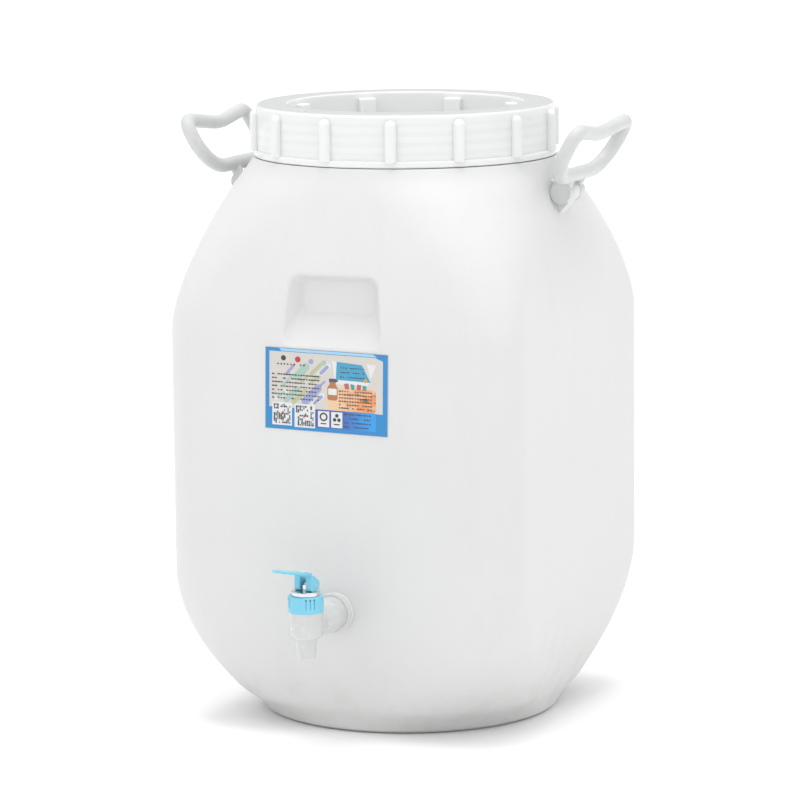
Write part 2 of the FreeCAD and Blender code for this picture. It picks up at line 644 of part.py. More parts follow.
def inner_lid():
    corners = [("0", "lid_floor"), ("lid_wall_radius - 3", "lid_floor"),
               ("lid_wall_radius - 3", "neck_top + lid_flange"),
               ("lid_flange_radius", "neck_top + lid_flange"), ("lid_flange_radius", "neck_top"),
               ("lid_wall_radius", "neck_top"), ("lid_wall_radius", "lid_floor - 3"), ("0", "lid_floor - 3")]
    dish = revolved("lid_dish", corners)
    inner_corner = (dim("lid_wall_radius") - 3, dim("lid_floor"))
    outer_corner = (dim("lid_wall_radius"), dim("lid_floor") - 3)
    rounded(dish, "lid_inner_round", ring_edges(dish.Shape, [inner_corner]), "3")
    rounded(dish, "lid_outer_round", ring_edges(dish.Shape, [outer_corner]), "4")
    plan = free_sketch("lid_grip_plan", "lid_floor - 1")
    rounded_rectangle(plan, "-lid_grip_length / 2", "lid_grip_length / 2",
                      "-lid_grip_width / 2", "lid_grip_width / 2", "lid_grip_width / 2 - 0.5")
    grip = extrude("lid_grip", plan, Vector(0, 0, 1), "lid_grip_height + 1")
    keep(fuse("lid", [dish, grip]), "inner_lid")


# ---------------------------------------------------------------- handles
def rounded_route(corners, radii):
    """Closed wire in the YZ plane through corners, with a tangent arc at each."""
    count = len(corners)
    points = [Vector(0, y, z) for y, z in corners]
    edges = []
    stops = []
    for index, corner in enumerate(points):
        before = (points[index - 1] - corner).normalize()
        after = (points[(index + 1) % count] - corner).normalize()
        half = before.getAngle(after) / 2
        reach = radii[index] / math.tan(half)
        middle = (before + after).normalize() * (radii[index] / math.sin(half) - radii[index])
        stops.append((corner + before * reach, corner + middle, corner + after * reach))
    for index, (first, middle, last) in enumerate(stops):
        edges.append(Part.Arc(first, middle, last).toShape())
        edges.append(Part.LineSegment(last, stops[(index + 1) % count][0]).toShape())
    return Part.Wire(edges)


def handle_loop():
    """Shape of a handle's closed bar: a sagging grip between raised corners."""
    top, half = dim("top_height"), dim("top_half")
    rail, rail_half = dim("rail_height"), dim("rail_half")
    corners = [(0, dim("sag_height")), (half, top), (rail_half, rail), (-rail_half, rail), (-half, top)]
    horn, corner = dim("horn_round"), dim("rail_round")
    route = rounded_route(corners, [dim("sag_round"), horn, corner, corner, horn])
    start = Vector(0, 0, rail)
    section = Part.Wire(Part.Circle(start, Vector(0, 1, 0), dim("bar_radius")).toShape())
    return route.makePipeShell([section], True, True)


def handle_leg(name, side):
    """One short leg from the loop's lower rail to its hub."""
    foot = Vector(0, side * (dim("hub_inner") + dim("hub_outer")) / 2, 0)
    knee = Vector(0, side * dim("leg_half"), dim("rail_height"))
    along = knee - foot
    leg = doc.addObject("Part::Cylinder", name)
    bind(leg, Radius="leg_radius")
    leg.Height = along.Length
    leg.Placement = Placement(foot, Rotation(Vector(0, 0, 1), along))
    return leg


def hub(name, side):
    """Outside of one hub; its bore is cut afterwards."""
    first = "hub_inner" if side > 0 else "-hub_outer"
    return cylinder(name, "hub_radius", "hub_outer - hub_inner", "y", y=first)


def handle(name, side, loop_shape):
    """A handle about its pivot, leaning outward at rest."""
    loop = doc.addObject("Part::Feature", name + "_loop")
    loop.Shape = loop_shape
    solid = fuse(name + "_solid", [loop, hub(name + "_hub_a", -1), hub(name + "_hub_b", 1),
                                   handle_leg(name + "_leg_a", -1), handle_leg(name + "_leg_b", 1)])
    bore = cylinder(name + "_bore", "trunnion_radius + hub_clearance", "2 * trunnion_half + 0.8", "y",
                    y="-trunnion_half - 0.4")
    middle = cylinder(name + "_middle", "hub_radius + 1", "2 * hub_inner", "y", y="-hub_inner")
    finished = cut(name, solid, fuse(name + "_space", [bore, middle]))
    out = Vector(side * dim("pivot_out"), 0, dim("pivot_height"))
    finished.Placement = Placement(out, Rotation(Vector(0, 1, 0), side * dim("handle_lean")))
    bind(finished, Placement__Base__z="pivot_height")
    keep(finished, name)


# ---------------------------------------------------------------- label
def label():
    plan = free_sketch("label_outline", upright=True)
    rounded_rectangle(plan, "-label_width / 2", "label_width / 2",
                      "-label_height / 2", "label_height / 2", "1.5")
    sheet_of_film = extrude("label_film", plan, Vector(0, -1, 0), "label_thickness")
    place = Vector(dim("label_x"), -dim("half_width"), dim("label_z"))
    sheet_of_film.Placement = Placement(place, Rotation(Vector(0, 1, 0), dim("label_tilt")))
    keep(sheet_of_film, "label")


# ---------------------------------------------------------------- tap
def on_tap_axis(thing):
    """Move a piece turned about Z onto the tap's upright axis."""
    thing.Placement = Placement(Vector(0, -dim("half_width") - dim("tap_reach"), 0), Rotation())
    bind(thing, Placement__Base__y="-half_width - tap_reach")
    return thing


def on_shank_axis(thing):
    """Lay a piece turned about Z along the shank, towards the bucket."""
    place = Vector(0, -dim("half_width") - dim("tap_reach"), dim("tap_height"))
    thing.Placement = Placement(place, Rotation(Vector(1, 0, 0), -90))
    bind(thing, Placement__Base__y="-half_width - tap_reach", Placement__Base__z="tap_height")
    return thing


SEAT_FACE = "tap_reach - pad_proud"
FLANGE_FACE = "tap_reach - pad_proud - washer_thickness"
INNER_FACE = "tap_reach - pad_proud + pad_wall"


def tap_body():
    barrel = revolved("tap_barrel", [
        ("0", "nozzle_low"), ("nozzle_low_radius", "nozzle_low"), ("nozzle_top_radius", "barrel_low - 3"),
        ("barrel_low_radius - 1.5", "barrel_low - 1.5"), ("barrel_low_radius", "barrel_low"),
        ("barrel_radius", "collar_low"), ("body_neck_radius", "collar_low"),
        ("body_neck_radius", "body_neck_top"), ("0", "body_neck_top")])
    neck_start = (dim("nozzle_top_radius"), dim("barrel_low") - 3)
    rounded(barrel, "nozzle_root_round", ring_edges(barrel.Shape, [neck_start]), "1.5")
    shank = revolved("tap_shank", [
        ("0", "0"), ("bridge_radius", "0"), ("bridge_radius", "bridge_end"), ("boss_radius", "boss_front"),
        ("boss_radius", "%s - flange_thickness" % FLANGE_FACE),
        ("flange_radius", "%s - flange_thickness" % FLANGE_FACE), ("flange_radius", FLANGE_FACE),
        ("shank_radius", FLANGE_FACE), ("shank_radius", "shank_end"), ("0", "shank_end")])
    flange_edge = (dim("flange_radius"), value(FLANGE_FACE) - dim("flange_thickness"))
    boss_edge = (dim("boss_radius"), dim("boss_front"))
    rounded(shank, "flange_round", ring_edges(shank.Shape, [flange_edge]), "1.5")
    rounded(shank, "boss_round", ring_edges(shank.Shape, [boss_edge]), "4")
    chamber = revolved("tap_chamber", [
        ("0", "nozzle_low - 1"), ("outlet_bore", "nozzle_low - 1"), ("outlet_bore", "seat_height - 1"),
        ("outlet_bore + 1", "seat_height - 1"), ("outlet_bore + 1", "seat_height"),
        ("chamber_radius", "seat_height"), ("chamber_radius", "body_neck_top + 1"),
        ("0", "body_neck_top + 1")])
    bore = cylinder("tap_waterway", "shank_bore", "shank_end + 1")
    solid = fuse("tap_solid", [on_tap_axis(barrel), on_shank_axis(shank)])
    space = fuse("tap_space", [on_tap_axis(chamber), on_shank_axis(bore)])
    keep(cut("tap", solid, space), "tap_body")


def wall_washer(name, face):
    back = "%s + washer_thickness" % face
    corners = [("wall_hole", face), ("washer_outer", face), ("washer_outer", back), ("wall_hole", back)]
    keep(on_shank_axis(revolved(name + "_ring", corners)), name)


def tap_lock_nut():
    prism = doc.addObject("Part::Prism", "nut_prism")
    prism.Polygon = 6
    bind(prism, Circumradius="nut_flats / 2 / cos(30)", Height="nut_thickness")
    skirt = cylinder("nut_skirt", "nut_flats / 2 + 3", "2")
    bore = cylinder("nut_bore", "shank_radius + 0.05", "nut_thickness + 2", z="-1")
    nut = cut("nut", fuse("nut_solid", [prism, skirt]), bore)
    on_shank_axis(nut)
    face = "%s + washer_thickness" % INNER_FACE
    nut.Placement.Base = Vector(0, -dim("half_width") - dim("tap_reach") + value(face), dim("tap_height"))
    bind(nut, Placement__Base__y="-half_width - tap_reach + %s" % face)
    keep(nut, "tap_lock_nut")


def tap_collar():
    corners = [("body_neck_radius + 0.3", "collar_low"), ("collar_radius", "collar_low"),
               ("collar_radius", "collar_top"), ("collar_hole", "collar_top"),
               ("collar_hole", "collar_top - collar_plate"),
               ("body_neck_radius + 0.3", "collar_top - collar_plate")]
    body = revolved("collar_blank", corners)
    rings = [(dim("collar_radius"), dim("collar_top"))]
    rounded(body, "collar_round", ring_edges(body.Shape, rings), "1.2")
    grooves = []
    inner = dim("collar_radius") - dim("groove_depth")
    groups = int(dim("groove_groups"))
    for group in range(groups):
        for step in (-1, 0, 1):
            groove = doc.addObject("Part::Box", "collar_groove_%d" % len(grooves))
            bind(groove, Length="groove_depth + 1", Width="groove_width", Height="groove_height")
            angle = 360 / groups * group + dim("groove_step") * step + dim("groove_phase")
            turn = Rotation(Vector(0, 0, 1), angle)
            corner = turn.multVec(Vector(inner, -dim("groove_width") / 2, dim("collar_low") + 4))
            groove.Placement = Placement(corner, turn)
            grooves.append(groove)
    collar = cut("collar", body, fuse("collar_grooves", grooves))
    keep(on_tap_axis(collar), "tap_collar")


def stem_guide():
    slide = "stem_radius + 0.06"
    groove = "stem_radius + o_ring_groove"
    groove_high, groove_low = "o_ring_height + o_ring_wire + 0.1", "o_ring_height - o_ring_wire - 0.1"
    corners = [(slide, "spring_high"), ("chamber_radius - 0.4", "spring_high"),
               ("chamber_radius - 0.4", "body_neck_top + 1"), ("body_neck_radius", "body_neck_top + 1"),
               ("body_neck_radius", "collar_top - collar_plate"),
               ("collar_hole - 0.2", "collar_top - collar_plate"), ("collar_hole - 0.2", "collar_top"),
               (slide, "collar_top"), (slide, groove_high), (groove, groove_high),
               (groove, groove_low), (slide, groove_low)]
    keep(on_tap_axis(revolved("guide_turned", corners)), "stem_guide")


def guide_seal():
    corners = [("chamber_radius + 0.2", "body_neck_top"), ("body_neck_radius", "body_neck_top"),
               ("body_neck_radius", "body_neck_top + 1"), ("chamber_radius + 0.2", "body_neck_top + 1")]
    keep(on_tap_axis(revolved("guide_seal_ring", corners)), "guide_seal")


def stem_o_ring():
    ring = doc.addObject("Part::Torus", "o_ring")
    bind(ring, Radius1="stem_radius + o_ring_wire + 0.06", Radius2="o_ring_wire")
    on_tap_axis(ring)
    bind(ring, Placement__Base__z="o_ring_height")
    keep(ring, "stem_o_ring")


def lever_seat():
    corners = [("stem_radius + 0.3", "disc_low"), ("disc_radius", "disc_low"),
               ("disc_radius", "disc_top"), ("stem_radius + 0.3", "disc_top")]
    body = revolved("disc", corners)
    rings = [(dim("disc_radius"), dim("disc_top"))]
    rounded(body, "disc_round", ring_edges(body.Shape, rings), "0.8")
    keep(on_tap_axis(body), "lever_seat")


def lever_place():
    """Frame of the lever: origin on the pin, X towards the paddle's tip."""
    turn = Rotation(Vector(0, 0, 1), dim("lever_turn"))
    axis = Vector(0, -dim("half_width") - dim("tap_reach"), dim("pin_height"))
    return Placement(axis - turn.multVec(Vector(dim("pin_back"), 0, 0)), turn)


def valve_stem():
    rod = cylinder("stem_rod", "stem_radius", "pin_height - plug_top", x="pin_back",
                   z="plug_top - pin_height")
    tail = cylinder("stem_tail", "stem_low_radius", "plug_top - seat_height", x="pin_back",
                    z="seat_height - pin_height")
    eye = cylinder("stem_eye", "eye_radius", "2 * eye_half", "y", y="-eye_half")
    hole = cylinder("stem_pin_hole", "pin_radius", "20", "y", y="-10")
    stem = cut("stem", fuse("stem_solid", [rod, tail, eye]), hole)
    stem.Placement = lever_place()
    keep(stem, "valve_stem")


def lever_pin():
    pin = doc.addObject("Part::Cylinder", "pin")
    bind(pin, Radius="pin_radius", Height="2 * cheek_outer")
    across = Placement(Vector(0, -dim("cheek_outer"), 0), Rotation(Vector(1, 0, 0), -90))
    pin.Placement = lever_place().multiply(across)
    keep(pin, "lever_pin")


def lever_side():
    """The lever seen from its side: round at the pin, a flat sole and a rocking toe."""
    sketch = free_sketch("lever_side", upright=True)
    outline(sketch, [("0", "-cheek_radius"), ("toe_reach", "-cheek_radius"),
                     ("toe_reach + toe_radius", "toe_radius - cheek_radius"),
                     ("cheek_front", "cheek_top"), ("paddle_root", "cheek_top - 0.8"),
                     ("-cheek_radius * 0.8", "cheek_radius * 0.6")])
    return extrude("lever_web", sketch, Vector(0, 1, 0), "2 * cheek_outer", symmetric=True)


def tap_lever():
    plan = free_sketch("paddle_plan", "-paddle_thickness / 2")
    rounded_rectangle(plan, "paddle_root", "paddle_tip", "-paddle_half", "paddle_half", "4.5")
    paddle = extrude("paddle", plan, Vector(0, 0, 1), "paddle_thickness")
    slope = Rotation(Vector(0, 1, 0), -dim("paddle_rise"))
    paddle.Placement = Placement(Vector(0, 0, dim("paddle_base")), slope)
    bind(paddle, Placement__Base__z="paddle_base")
    heel = cylinder("lever_heel", "cheek_radius", "2 * cheek_outer", "y", y="-cheek_outer")
    toe = cylinder("lever_toe", "toe_radius", "2 * cheek_outer", "y", x="toe_reach", y="-cheek_outer",
                   z="toe_radius - cheek_radius")
    slot = block("lever_slot", "-cheek_radius - 1", "cheek_front + 3", "-cheek_gap", "cheek_gap",
                 "-cheek_radius - 1", "cheek_top - 2.2")
    hole = cylinder("lever_pin_hole", "pin_radius + 0.05", "2 * cheek_outer + 2", "y", y="-cheek_outer - 1")
    gap = fuse("lever_gap", [slot, hole])
    cheeks = cut("lever_cheeks", fuse("lever_block", [lever_side(), heel, toe]), gap)
    lever = fuse("lever", [cheeks, paddle])
    lever.Placement = lever_place()
    keep(lever, "tap_lever")


def valve_plug():
    corners = [("stem_low_radius", "seat_height"), ("plug_radius", "seat_height"),
               ("plug_radius", "seat_height + 2.2"), ("plug_radius - 1.2", "seat_height + 4"),
               ("plug_neck_radius", "plug_top - 1.5"), ("plug_neck_radius", "plug_top"),
               ("stem_low_radius", "plug_top")]
    keep(on_tap_axis(revolved("plug", corners)), "valve_plug")


def spring_washer():
    corners = [("stem_radius + 0.02", "plug_top"), ("cup_radius", "plug_top"),
               ("cup_radius", "spring_low"), ("stem_radius + 0.02", "spring_low")]
    keep(on_tap_axis(revolved("spring_cup", corners)), "spring_washer")


def valve_spring():
    helix = doc.addObject("Part::Helix", "spring_path")
    travel = "(spring_high - spring_low - 2 * spring_wire - 0.1)"
    bind(helix, Pitch="%s / spring_turns" % travel, Height=travel, Radius="spring_radius")
    section = doc.addObject("Part::Circle", "spring_section")
    bind(section, Radius="spring_wire")
    section.Placement = Placement(Vector(dim("spring_radius"), 0, 0), Rotation(Vector(1, 0, 0), 90))
    coil = doc.addObject("Part::Sweep", "spring")
    coil.Sections = [section]
    coil.Spine = (helix, ["Edge1"])
    coil.Solid = True
    coil.Frenet = True
    on_tap_axis(coil)
    bind(coil, Placement__Base__z="spring_low + spring_wire + 0.05")
    keep(coil, "valve_spring")


# ---------------------------------------------------------------- build, check, write
def build():
    bucket_body()
    screw_cap()
    cap_gasket()
    inner_lid()
    loop_shape = handle_loop()
    handle("handle_left", -1, loop_shape)
    handle("handle_right", 1, loop_shape)
    label()
    tap_body()
    wall_washer("tap_outer_washer", FLANGE_FACE)
    wall_washer("tap_inner_washer", INNER_FACE)
    tap_lock_nut()
    tap_collar()
    stem_guide()
    guide_seal()
    stem_o_ring()
    lever_seat()
    valve_stem()
    lever_pin()
    tap_lever()
    valve_plug()
    spring_washer()
    valve_spring()
    doc.recompute()


def check():
    """Stop if any object failed or any sub-part isn't one or more valid solids."""
    for thing in doc.Objects:
        if "Invalid" in thing.State or "Error" in thing.State:
            raise RuntimeError("%s failed: %s" % (thing.Name, thing.State))
    for thing in parts:
        shape = thing.Shape
        if shape.isNull() or not shape.isValid() or not shape.Solids:
            raise RuntimeError("%s has no valid solid" % thing.Label)
        box = shape.BoundBox
        print("%-18s solids %d volume %10.1f mm3  x %.1f..%.1f y %.1f..%.1f z %.1f..%.1f" % (
            thing.Label, len(shape.Solids), shape.Volume,
            box.XMin, box.XMax, box.YMin, box.YMax, box.ZMin, box.ZMax))


def write():
    os.makedirs("parts", exist_ok=True)
    for thing in parts:
        thing.Shape.exportStep("parts/%s.step" % thing.Label)


build()
check()
write()
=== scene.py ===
import math

import bmesh
import bpy
from bpy.props import FloatProperty, FloatVectorProperty, IntProperty, PointerProperty
from mathutils import Matrix, Vector


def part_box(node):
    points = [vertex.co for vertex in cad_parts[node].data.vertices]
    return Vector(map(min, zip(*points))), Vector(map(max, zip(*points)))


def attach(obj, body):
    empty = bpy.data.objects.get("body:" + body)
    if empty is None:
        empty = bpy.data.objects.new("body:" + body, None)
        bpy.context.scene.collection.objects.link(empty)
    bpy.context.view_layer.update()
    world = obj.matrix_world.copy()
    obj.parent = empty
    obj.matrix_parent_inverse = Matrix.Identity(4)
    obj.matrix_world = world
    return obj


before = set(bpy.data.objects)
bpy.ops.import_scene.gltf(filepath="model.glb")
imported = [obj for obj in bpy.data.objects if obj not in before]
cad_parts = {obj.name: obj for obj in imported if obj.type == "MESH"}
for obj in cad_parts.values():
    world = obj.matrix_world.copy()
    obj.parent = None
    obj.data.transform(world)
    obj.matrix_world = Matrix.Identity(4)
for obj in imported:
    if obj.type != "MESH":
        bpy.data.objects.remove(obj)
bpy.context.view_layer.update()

bl_info = {
    "name": "Fermenting bucket finish",
    "version": (1, 0, 0),
    "blender": (4, 5, 0),
    "location": "View3D > Sidebar > Bucket",
    "description": "Finishes, label print and studio for a square plastic fermenting bucket",
    "category": "Object",
}

MM = 0.001


# ---------------------------------------------------------------- shader maths
class Sock:
    """One output socket with arithmetic, so that shader maths reads as an expression."""

    def __init__(self, shader, socket):
        self.shader = shader
        self.socket = socket

    def _math(self, operation, *values):
        return self.shader.node("Math", {"operation": operation}, dict(enumerate((self,) + values)))

    def __add__(self, other):
        return self._math("ADD", other)

    def __sub__(self, other):
        return self._math("SUBTRACT", other)

    def __mul__(self, other):
        return self._math("MULTIPLY", other)

    def __truediv__(self, other):
        return self._math("DIVIDE", other)

    def __pow__(self, other):
        return self._math("POWER", other)

    def fract(self):
        return self._math("FRACT")

    def abs(self):
        return self._math("ABSOLUTE")

    def angle_to(self, other):
        """Angle whose tangent is self over other."""
        return self._math("ARCTAN2", other)

    def ramp(self, low, high, out_low=0.0, out_high=1.0):
        """Smooth step from low to high."""
        settings = {"interpolation_type": "SMOOTHSTEP", "clamp": True}
        return self.shader.node("MapRange", settings, {
            "Value": self, "From Min": low, "From Max": high, "To Min": out_low, "To Max": out_high})


class Shader:
    """A material being built round one Principled BSDF."""

    def __init__(self, name, **constants):
        self.material = bpy.data.materials.new(name)
        self.material.use_nodes = True
        self.tree = self.material.node_tree
        self.bsdf = self.tree.nodes["Principled BSDF"]
        for key, constant in constants.items():
            self.bsdf.inputs[key.replace("_", " ")].default_value = constant
        self.place = self.node("TexCoord", {}, {}, "Object")
        split = self.node("SeparateXYZ", {}, {"Vector": self.place}, None)
        self.x, self.y, self.z = [Sock(self, split.outputs[axis]) for axis in "XYZ"]

    def node(self, kind, settings, values, output=0):
        """Add a node: settings first, then the values or links of its sockets."""
        made = self.tree.nodes.new("ShaderNode" + kind)
        for key, setting in settings.items():
            setattr(made, key, setting)
        for key, given in values.items():
            if isinstance(given, Sock):
                self.tree.links.new(given.socket, made.inputs[key])
            else:
                made.inputs[key].default_value = given
        if output is None:
            return made
        return Sock(self, made.outputs[output])

    def noise(self, scale, detail=2.0, roughness=0.5, stretch=(1, 1, 1)):
        """Noise at a scale in features per metre, stretched along the axes."""
        mapped = self.node("Mapping", {}, {"Vector": self.place, "Scale": stretch})
        return self.node("TexNoise", {}, {"Vector": mapped, "Scale": scale, "Detail": detail,
                                          "Roughness": roughness}, "Fac")

    def cells(self, scale, feature="F1"):
        """Distance to the nearest of many scattered points."""
        return self.node("TexVoronoi", {"feature": feature}, {"Vector": self.place, "Scale": scale},
                         "Distance")

    def mix(self, mask, first, second):
        """First colour where the mask is 0, second where it is 1."""
        made = self.node("Mix", {"data_type": "RGBA"}, {}, None)
        for index, given in ((0, mask), (6, first), (7, second)):
            if isinstance(given, Sock):
                self.tree.links.new(given.socket, made.inputs[index])
            else:
                made.inputs[index].default_value = given if index == 0 else colour(given)
        return Sock(self, made.outputs[2])

    def bump(self, height, strength, distance, under=None):
        """Bump from a height in 0..1 over a distance in metres, on top of another bump."""
        values = {"Height": height, "Strength": strength, "Distance": distance}
        if under is not None:
            values["Normal"] = under
        return self.node("Bump", {}, values, "Normal")

    def feed(self, **links):
        """Link values to the BSDF's own sockets."""
        for key, given in links.items():
            self.tree.links.new(given.socket, self.bsdf.inputs[key.replace("_", " ")])
        return self.material


def colour(values):
    """Three or four numbers as a colour with alpha."""
    return (*values[:3], 1.0)


def tinted(values, factor):
    """A colour made lighter or darker."""
    return tuple(min(1.0, channel * factor) for channel in values[:3])


# ---------------------------------------------------------------- settings
class BucketLooks(bpy.types.PropertyGroup):
    """Colours of the bucket's plastics and metals."""
    shell: FloatVectorProperty(name="Shell", description="Blown natural plastic of the bucket",
                               subtype="COLOR", size=3, default=(0.645, 0.65, 0.645))
    cap: FloatVectorProperty(name="Cap", description="Moulded plastic of the screw cap",
                             subtype="COLOR", size=3, default=(0.73, 0.74, 0.74))
    handle: FloatVectorProperty(name="Handles", description="Moulded plastic of the handles",
                                subtype="COLOR", size=3, default=(0.57, 0.58, 0.58))
    tap: FloatVectorProperty(name="Tap", description="Milky plastic of the tap body",
                             subtype="COLOR", size=3, default=(0.59, 0.60, 0.60))
    blue: FloatVectorProperty(name="Lever and collar", description="Pale blue plastic",
                              subtype="COLOR", size=3, default=(0.18, 0.55, 0.71))
    silicone: FloatVectorProperty(name="Silicone", description="Seals and gaskets",
                                  subtype="COLOR", size=3, default=(0.80, 0.80, 0.77))
    metal: FloatVectorProperty(name="Bright metal", description="Disc, stem and pin",
                               subtype="COLOR", size=3, default=(0.70, 0.71, 0.73))


class LabelSizes(bpy.types.PropertyGroup):
    """Sizes and inks of the printed label."""
    tilt: FloatProperty(name="Tilt", description="Clockwise tilt of the label",
                        subtype="ANGLE", default=math.radians(1.0))
    ink: FloatProperty(name="Ink", description="Thickness of each printed layer",
                       subtype="DISTANCE", default=0.00004)
    border: FloatProperty(name="Border", description="Width of the blue border at the sides",
                          subtype="DISTANCE", default=0.0040)
    band: FloatProperty(name="Band", description="Height of the blue band along the bottom",
                        subtype="DISTANCE", default=0.0190)
    panel: FloatVectorProperty(name="Panel", description="Warm grey ground of the label",
                               subtype="COLOR", size=3, default=(0.74, 0.70, 0.65))
    blue: FloatVectorProperty(name="Border blue", description="Ink of the border",
                              subtype="COLOR", size=3, default=(0.006, 0.27, 0.66))
    seed: IntProperty(name="Seed", description="Seed of the broken rows", default=5, min=0)


class TapSizes(bpy.types.PropertyGroup):
    """Sizes of the tap's small repeated details: the beads of painted shade at the heads of the collar's
    grooves.
    """
    groups: IntProperty(name="Groove groups", description="Groups of grooves round the collar", default=4)
    group_turn: FloatProperty(name="First group", description="Turn of the first group's middle groove",
                              subtype="ANGLE", default=math.radians(38.5))
    groove_step: FloatProperty(name="Groove step", description="Angle between grooves of a group",
                               subtype="ANGLE", default=math.radians(13.5))
    # The notch sizes place the dark beads of painted shade at the grooves' heads.
    notch_radius: FloatProperty(name="Notch radius", description="Radius of a groove's dark head",
                                subtype="DISTANCE", default=0.0007)
    notch_depth: FloatProperty(name="Notch depth", description="Groove heads below the collar's face",
                               subtype="DISTANCE", default=0.0001)
    notch_height: FloatProperty(name="Notch height", description="Groove heads above the collar's foot",
                                subtype="DISTANCE", default=0.0118)


class StudioSettings(bpy.types.PropertyGroup):
    """Camera and lights."""
    distance: FloatProperty(name="Distance", description="Camera from the bucket's axis",
                            subtype="DISTANCE", default=3.658)
    height: FloatProperty(name="Height", description="Camera above the floor",
                          subtype="DISTANCE", default=0.854)
    turn: FloatProperty(name="Turn", description="Camera's place round the bucket from the front",
                        subtype="ANGLE", default=math.radians(23.18))
    aim: FloatProperty(name="Aim", description="Camera's aim to the left of the axis",
                       subtype="ANGLE", default=math.radians(0.11))
    dip: FloatProperty(name="Dip", description="Camera's downward tilt",
                       subtype="ANGLE", default=math.radians(9.09))
    roll: FloatProperty(name="Roll", description="Camera's clockwise roll",
                        subtype="ANGLE", default=math.radians(0.58))
    lens: FloatProperty(name="Lens", description="Focal length in millimetres", default=190.9)
    floor: FloatProperty(name="Floor", description="Tone of the floor", default=0.89)
    sun: FloatProperty(name="Overhead", description="Strength of the lamp overhead", default=0.85)
    spread: FloatProperty(name="Spread", description="Apparent size of the lamp overhead",
                          subtype="ANGLE", default=math.radians(30))
    key: FloatProperty(name="Key", description="Power of the soft box on the left", default=9)
    fill: FloatProperty(name="Fill", description="Power of the soft box on the right", default=6)
    horizon: FloatProperty(name="Horizon", description="Brightness of the room at eye level", default=0.50)
    zenith: FloatProperty(name="Zenith", description="Brightness of the room overhead", default=1.56)
    backdrop: FloatProperty(name="Backdrop", description="Brightness of the backdrop", default=1.02)


# ---------------------------------------------------------------- finishes
def blown_plastic(looks):
    """Natural blown polyethylene: satin, faintly pebbled, with soft vertical draw lines."""
    s = Shader("blown_plastic", IOR=1.5, Coat_Weight=0.0, Subsurface_Weight=0.25,
               Subsurface_Radius=(0.010, 0.010, 0.0095), Subsurface_Scale=0.6)
    pebble = s.noise(900, 2.0, 0.6)
    draw = s.noise(60, 3.0, 0.55, (1, 1, 0.08))
    cloud = s.noise(7, 3.0, 0.5)
    scuff = (s.noise(140, 4.0, 0.7, (1, 1, 0.25)).ramp(0.62, 0.74)) * cloud.ramp(0.45, 0.65)
    low = s.z.ramp(0.0, 0.10, 1.0, 0.0)
    dust = low * s.noise(45, 4.0, 0.65).ramp(0.42, 0.72)
    base = s.mix(cloud.ramp(0.3, 0.7), tinted(looks.shell, 0.985), tinted(looks.shell, 1.012))
    base = s.mix(draw.ramp(0.45, 0.75) * 0.5, base, tinted(looks.shell, 0.975))
    base = s.mix(dust * 0.35, base, (0.55, 0.54, 0.51))
    rough = cloud * 0.10 + 0.40 + scuff * 0.12 + dust * 0.10
    relief = s.bump(pebble, 0.25, 0.00012)
    relief = s.bump(draw, 0.30, 0.00035, relief)
    relief = s.bump(scuff, 0.15, 0.0002, relief)
    return s.feed(Base_Color=base, Roughness=rough, Normal=relief)


def cap_plastic(looks):
    """Glossier moulded polyethylene, with the thread showing faintly through the skirt; painted shade
    darkens the top ring and the dish's floor, and painted light brightens the dish.
    """
    s = Shader("cap_plastic", IOR=1.5, Subsurface_Weight=0.35,
               Subsurface_Radius=(0.008, 0.008, 0.008), Subsurface_Scale=0.5)
    low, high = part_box("screw_cap")
    pitch, bore, face, dish_edge = 0.0085, 0.1260, 0.1292, 0.1024
    floor = 0.0215
    radius = (s.x * s.x + s.y * s.y) ** 0.5
    lead = s.y.angle_to(s.x) / (2 * math.pi)
    turns = ((s.z - low[2]) / pitch - lead).fract()
    thread = ((turns - 0.5).abs()).ramp(0.16, 0.30, 1.0, 0.0)
    skirt = (s.z.ramp(low[2] + 0.008, low[2] + 0.012) * s.z.ramp(high[2] - 0.010, high[2] - 0.005, 1.0, 0.0)
             * radius.ramp(face, face + 0.0008, 1.0, 0.0) * radius.ramp(bore, bore + 0.0020))
    through = thread * skirt
    # Painted shade: the cap's top ring is drawn darker, at 0.66 of the cap's colour.
    top = s.z.ramp(high[2] - 0.0012, high[2] - 0.0004)
    base = s.mix(through * 0.5, tinted(looks.cap, 1.0), tinted(looks.cap, 0.93))
    base = s.mix(top, base, tinted(looks.cap, 0.66))
    # Painted light: everything inside the dish's edge is drawn lighter, to brighten the recessed dish
    # against its own shade.
    dish = radius.ramp(dish_edge, dish_edge + 0.0008, 1.0, 0.0)
    base = s.mix(dish, base, tinted(looks.cap, 1.10))
    # Painted shade: the floor of the dish is drawn darker, as shade in the recess.
    dish_floor_shade_mask = s.z.ramp(low[2] + floor, low[2] + floor + 0.0020, 1.0, 0.0)
    base = s.mix(dish * dish_floor_shade_mask, base, tinted(looks.cap, 0.74))
    flow = s.noise(55, 3.0, 0.6)
    rough = flow * 0.05 + 0.26
    relief = s.bump(s.noise(700, 2.0, 0.6), 0.12, 0.0001)
    relief = s.bump(through, 0.20, 0.0003, relief)
    return s.feed(Base_Color=base, Roughness=rough, Normal=relief)


def moulded(name, base_colour, gloss, grain, see_through=0.3):
    """Injection-moulded plastic: smooth, with faint flow clouding and a fine grain."""
    s = Shader(name, IOR=1.49, Subsurface_Weight=see_through,
               Subsurface_Radius=(0.004, 0.004, 0.004), Subsurface_Scale=0.4)
    flow = s.noise(90, 3.0, 0.6)
    speck = s.cells(420).ramp(0.0, 0.10, 1.0, 0.0) * flow.ramp(0.55, 0.7)
    base = s.mix(flow.ramp(0.3, 0.7), tinted(base_colour, 0.97), tinted(base_colour, 1.02))
    base = s.mix(speck * 0.12, base, tinted(base_colour, 0.8))
    rough = flow * 0.12 + gloss
    relief = s.bump(s.noise(1600, 2.0, 0.6), grain, 0.00006)
    return s.feed(Base_Color=base, Roughness=rough, Normal=relief)


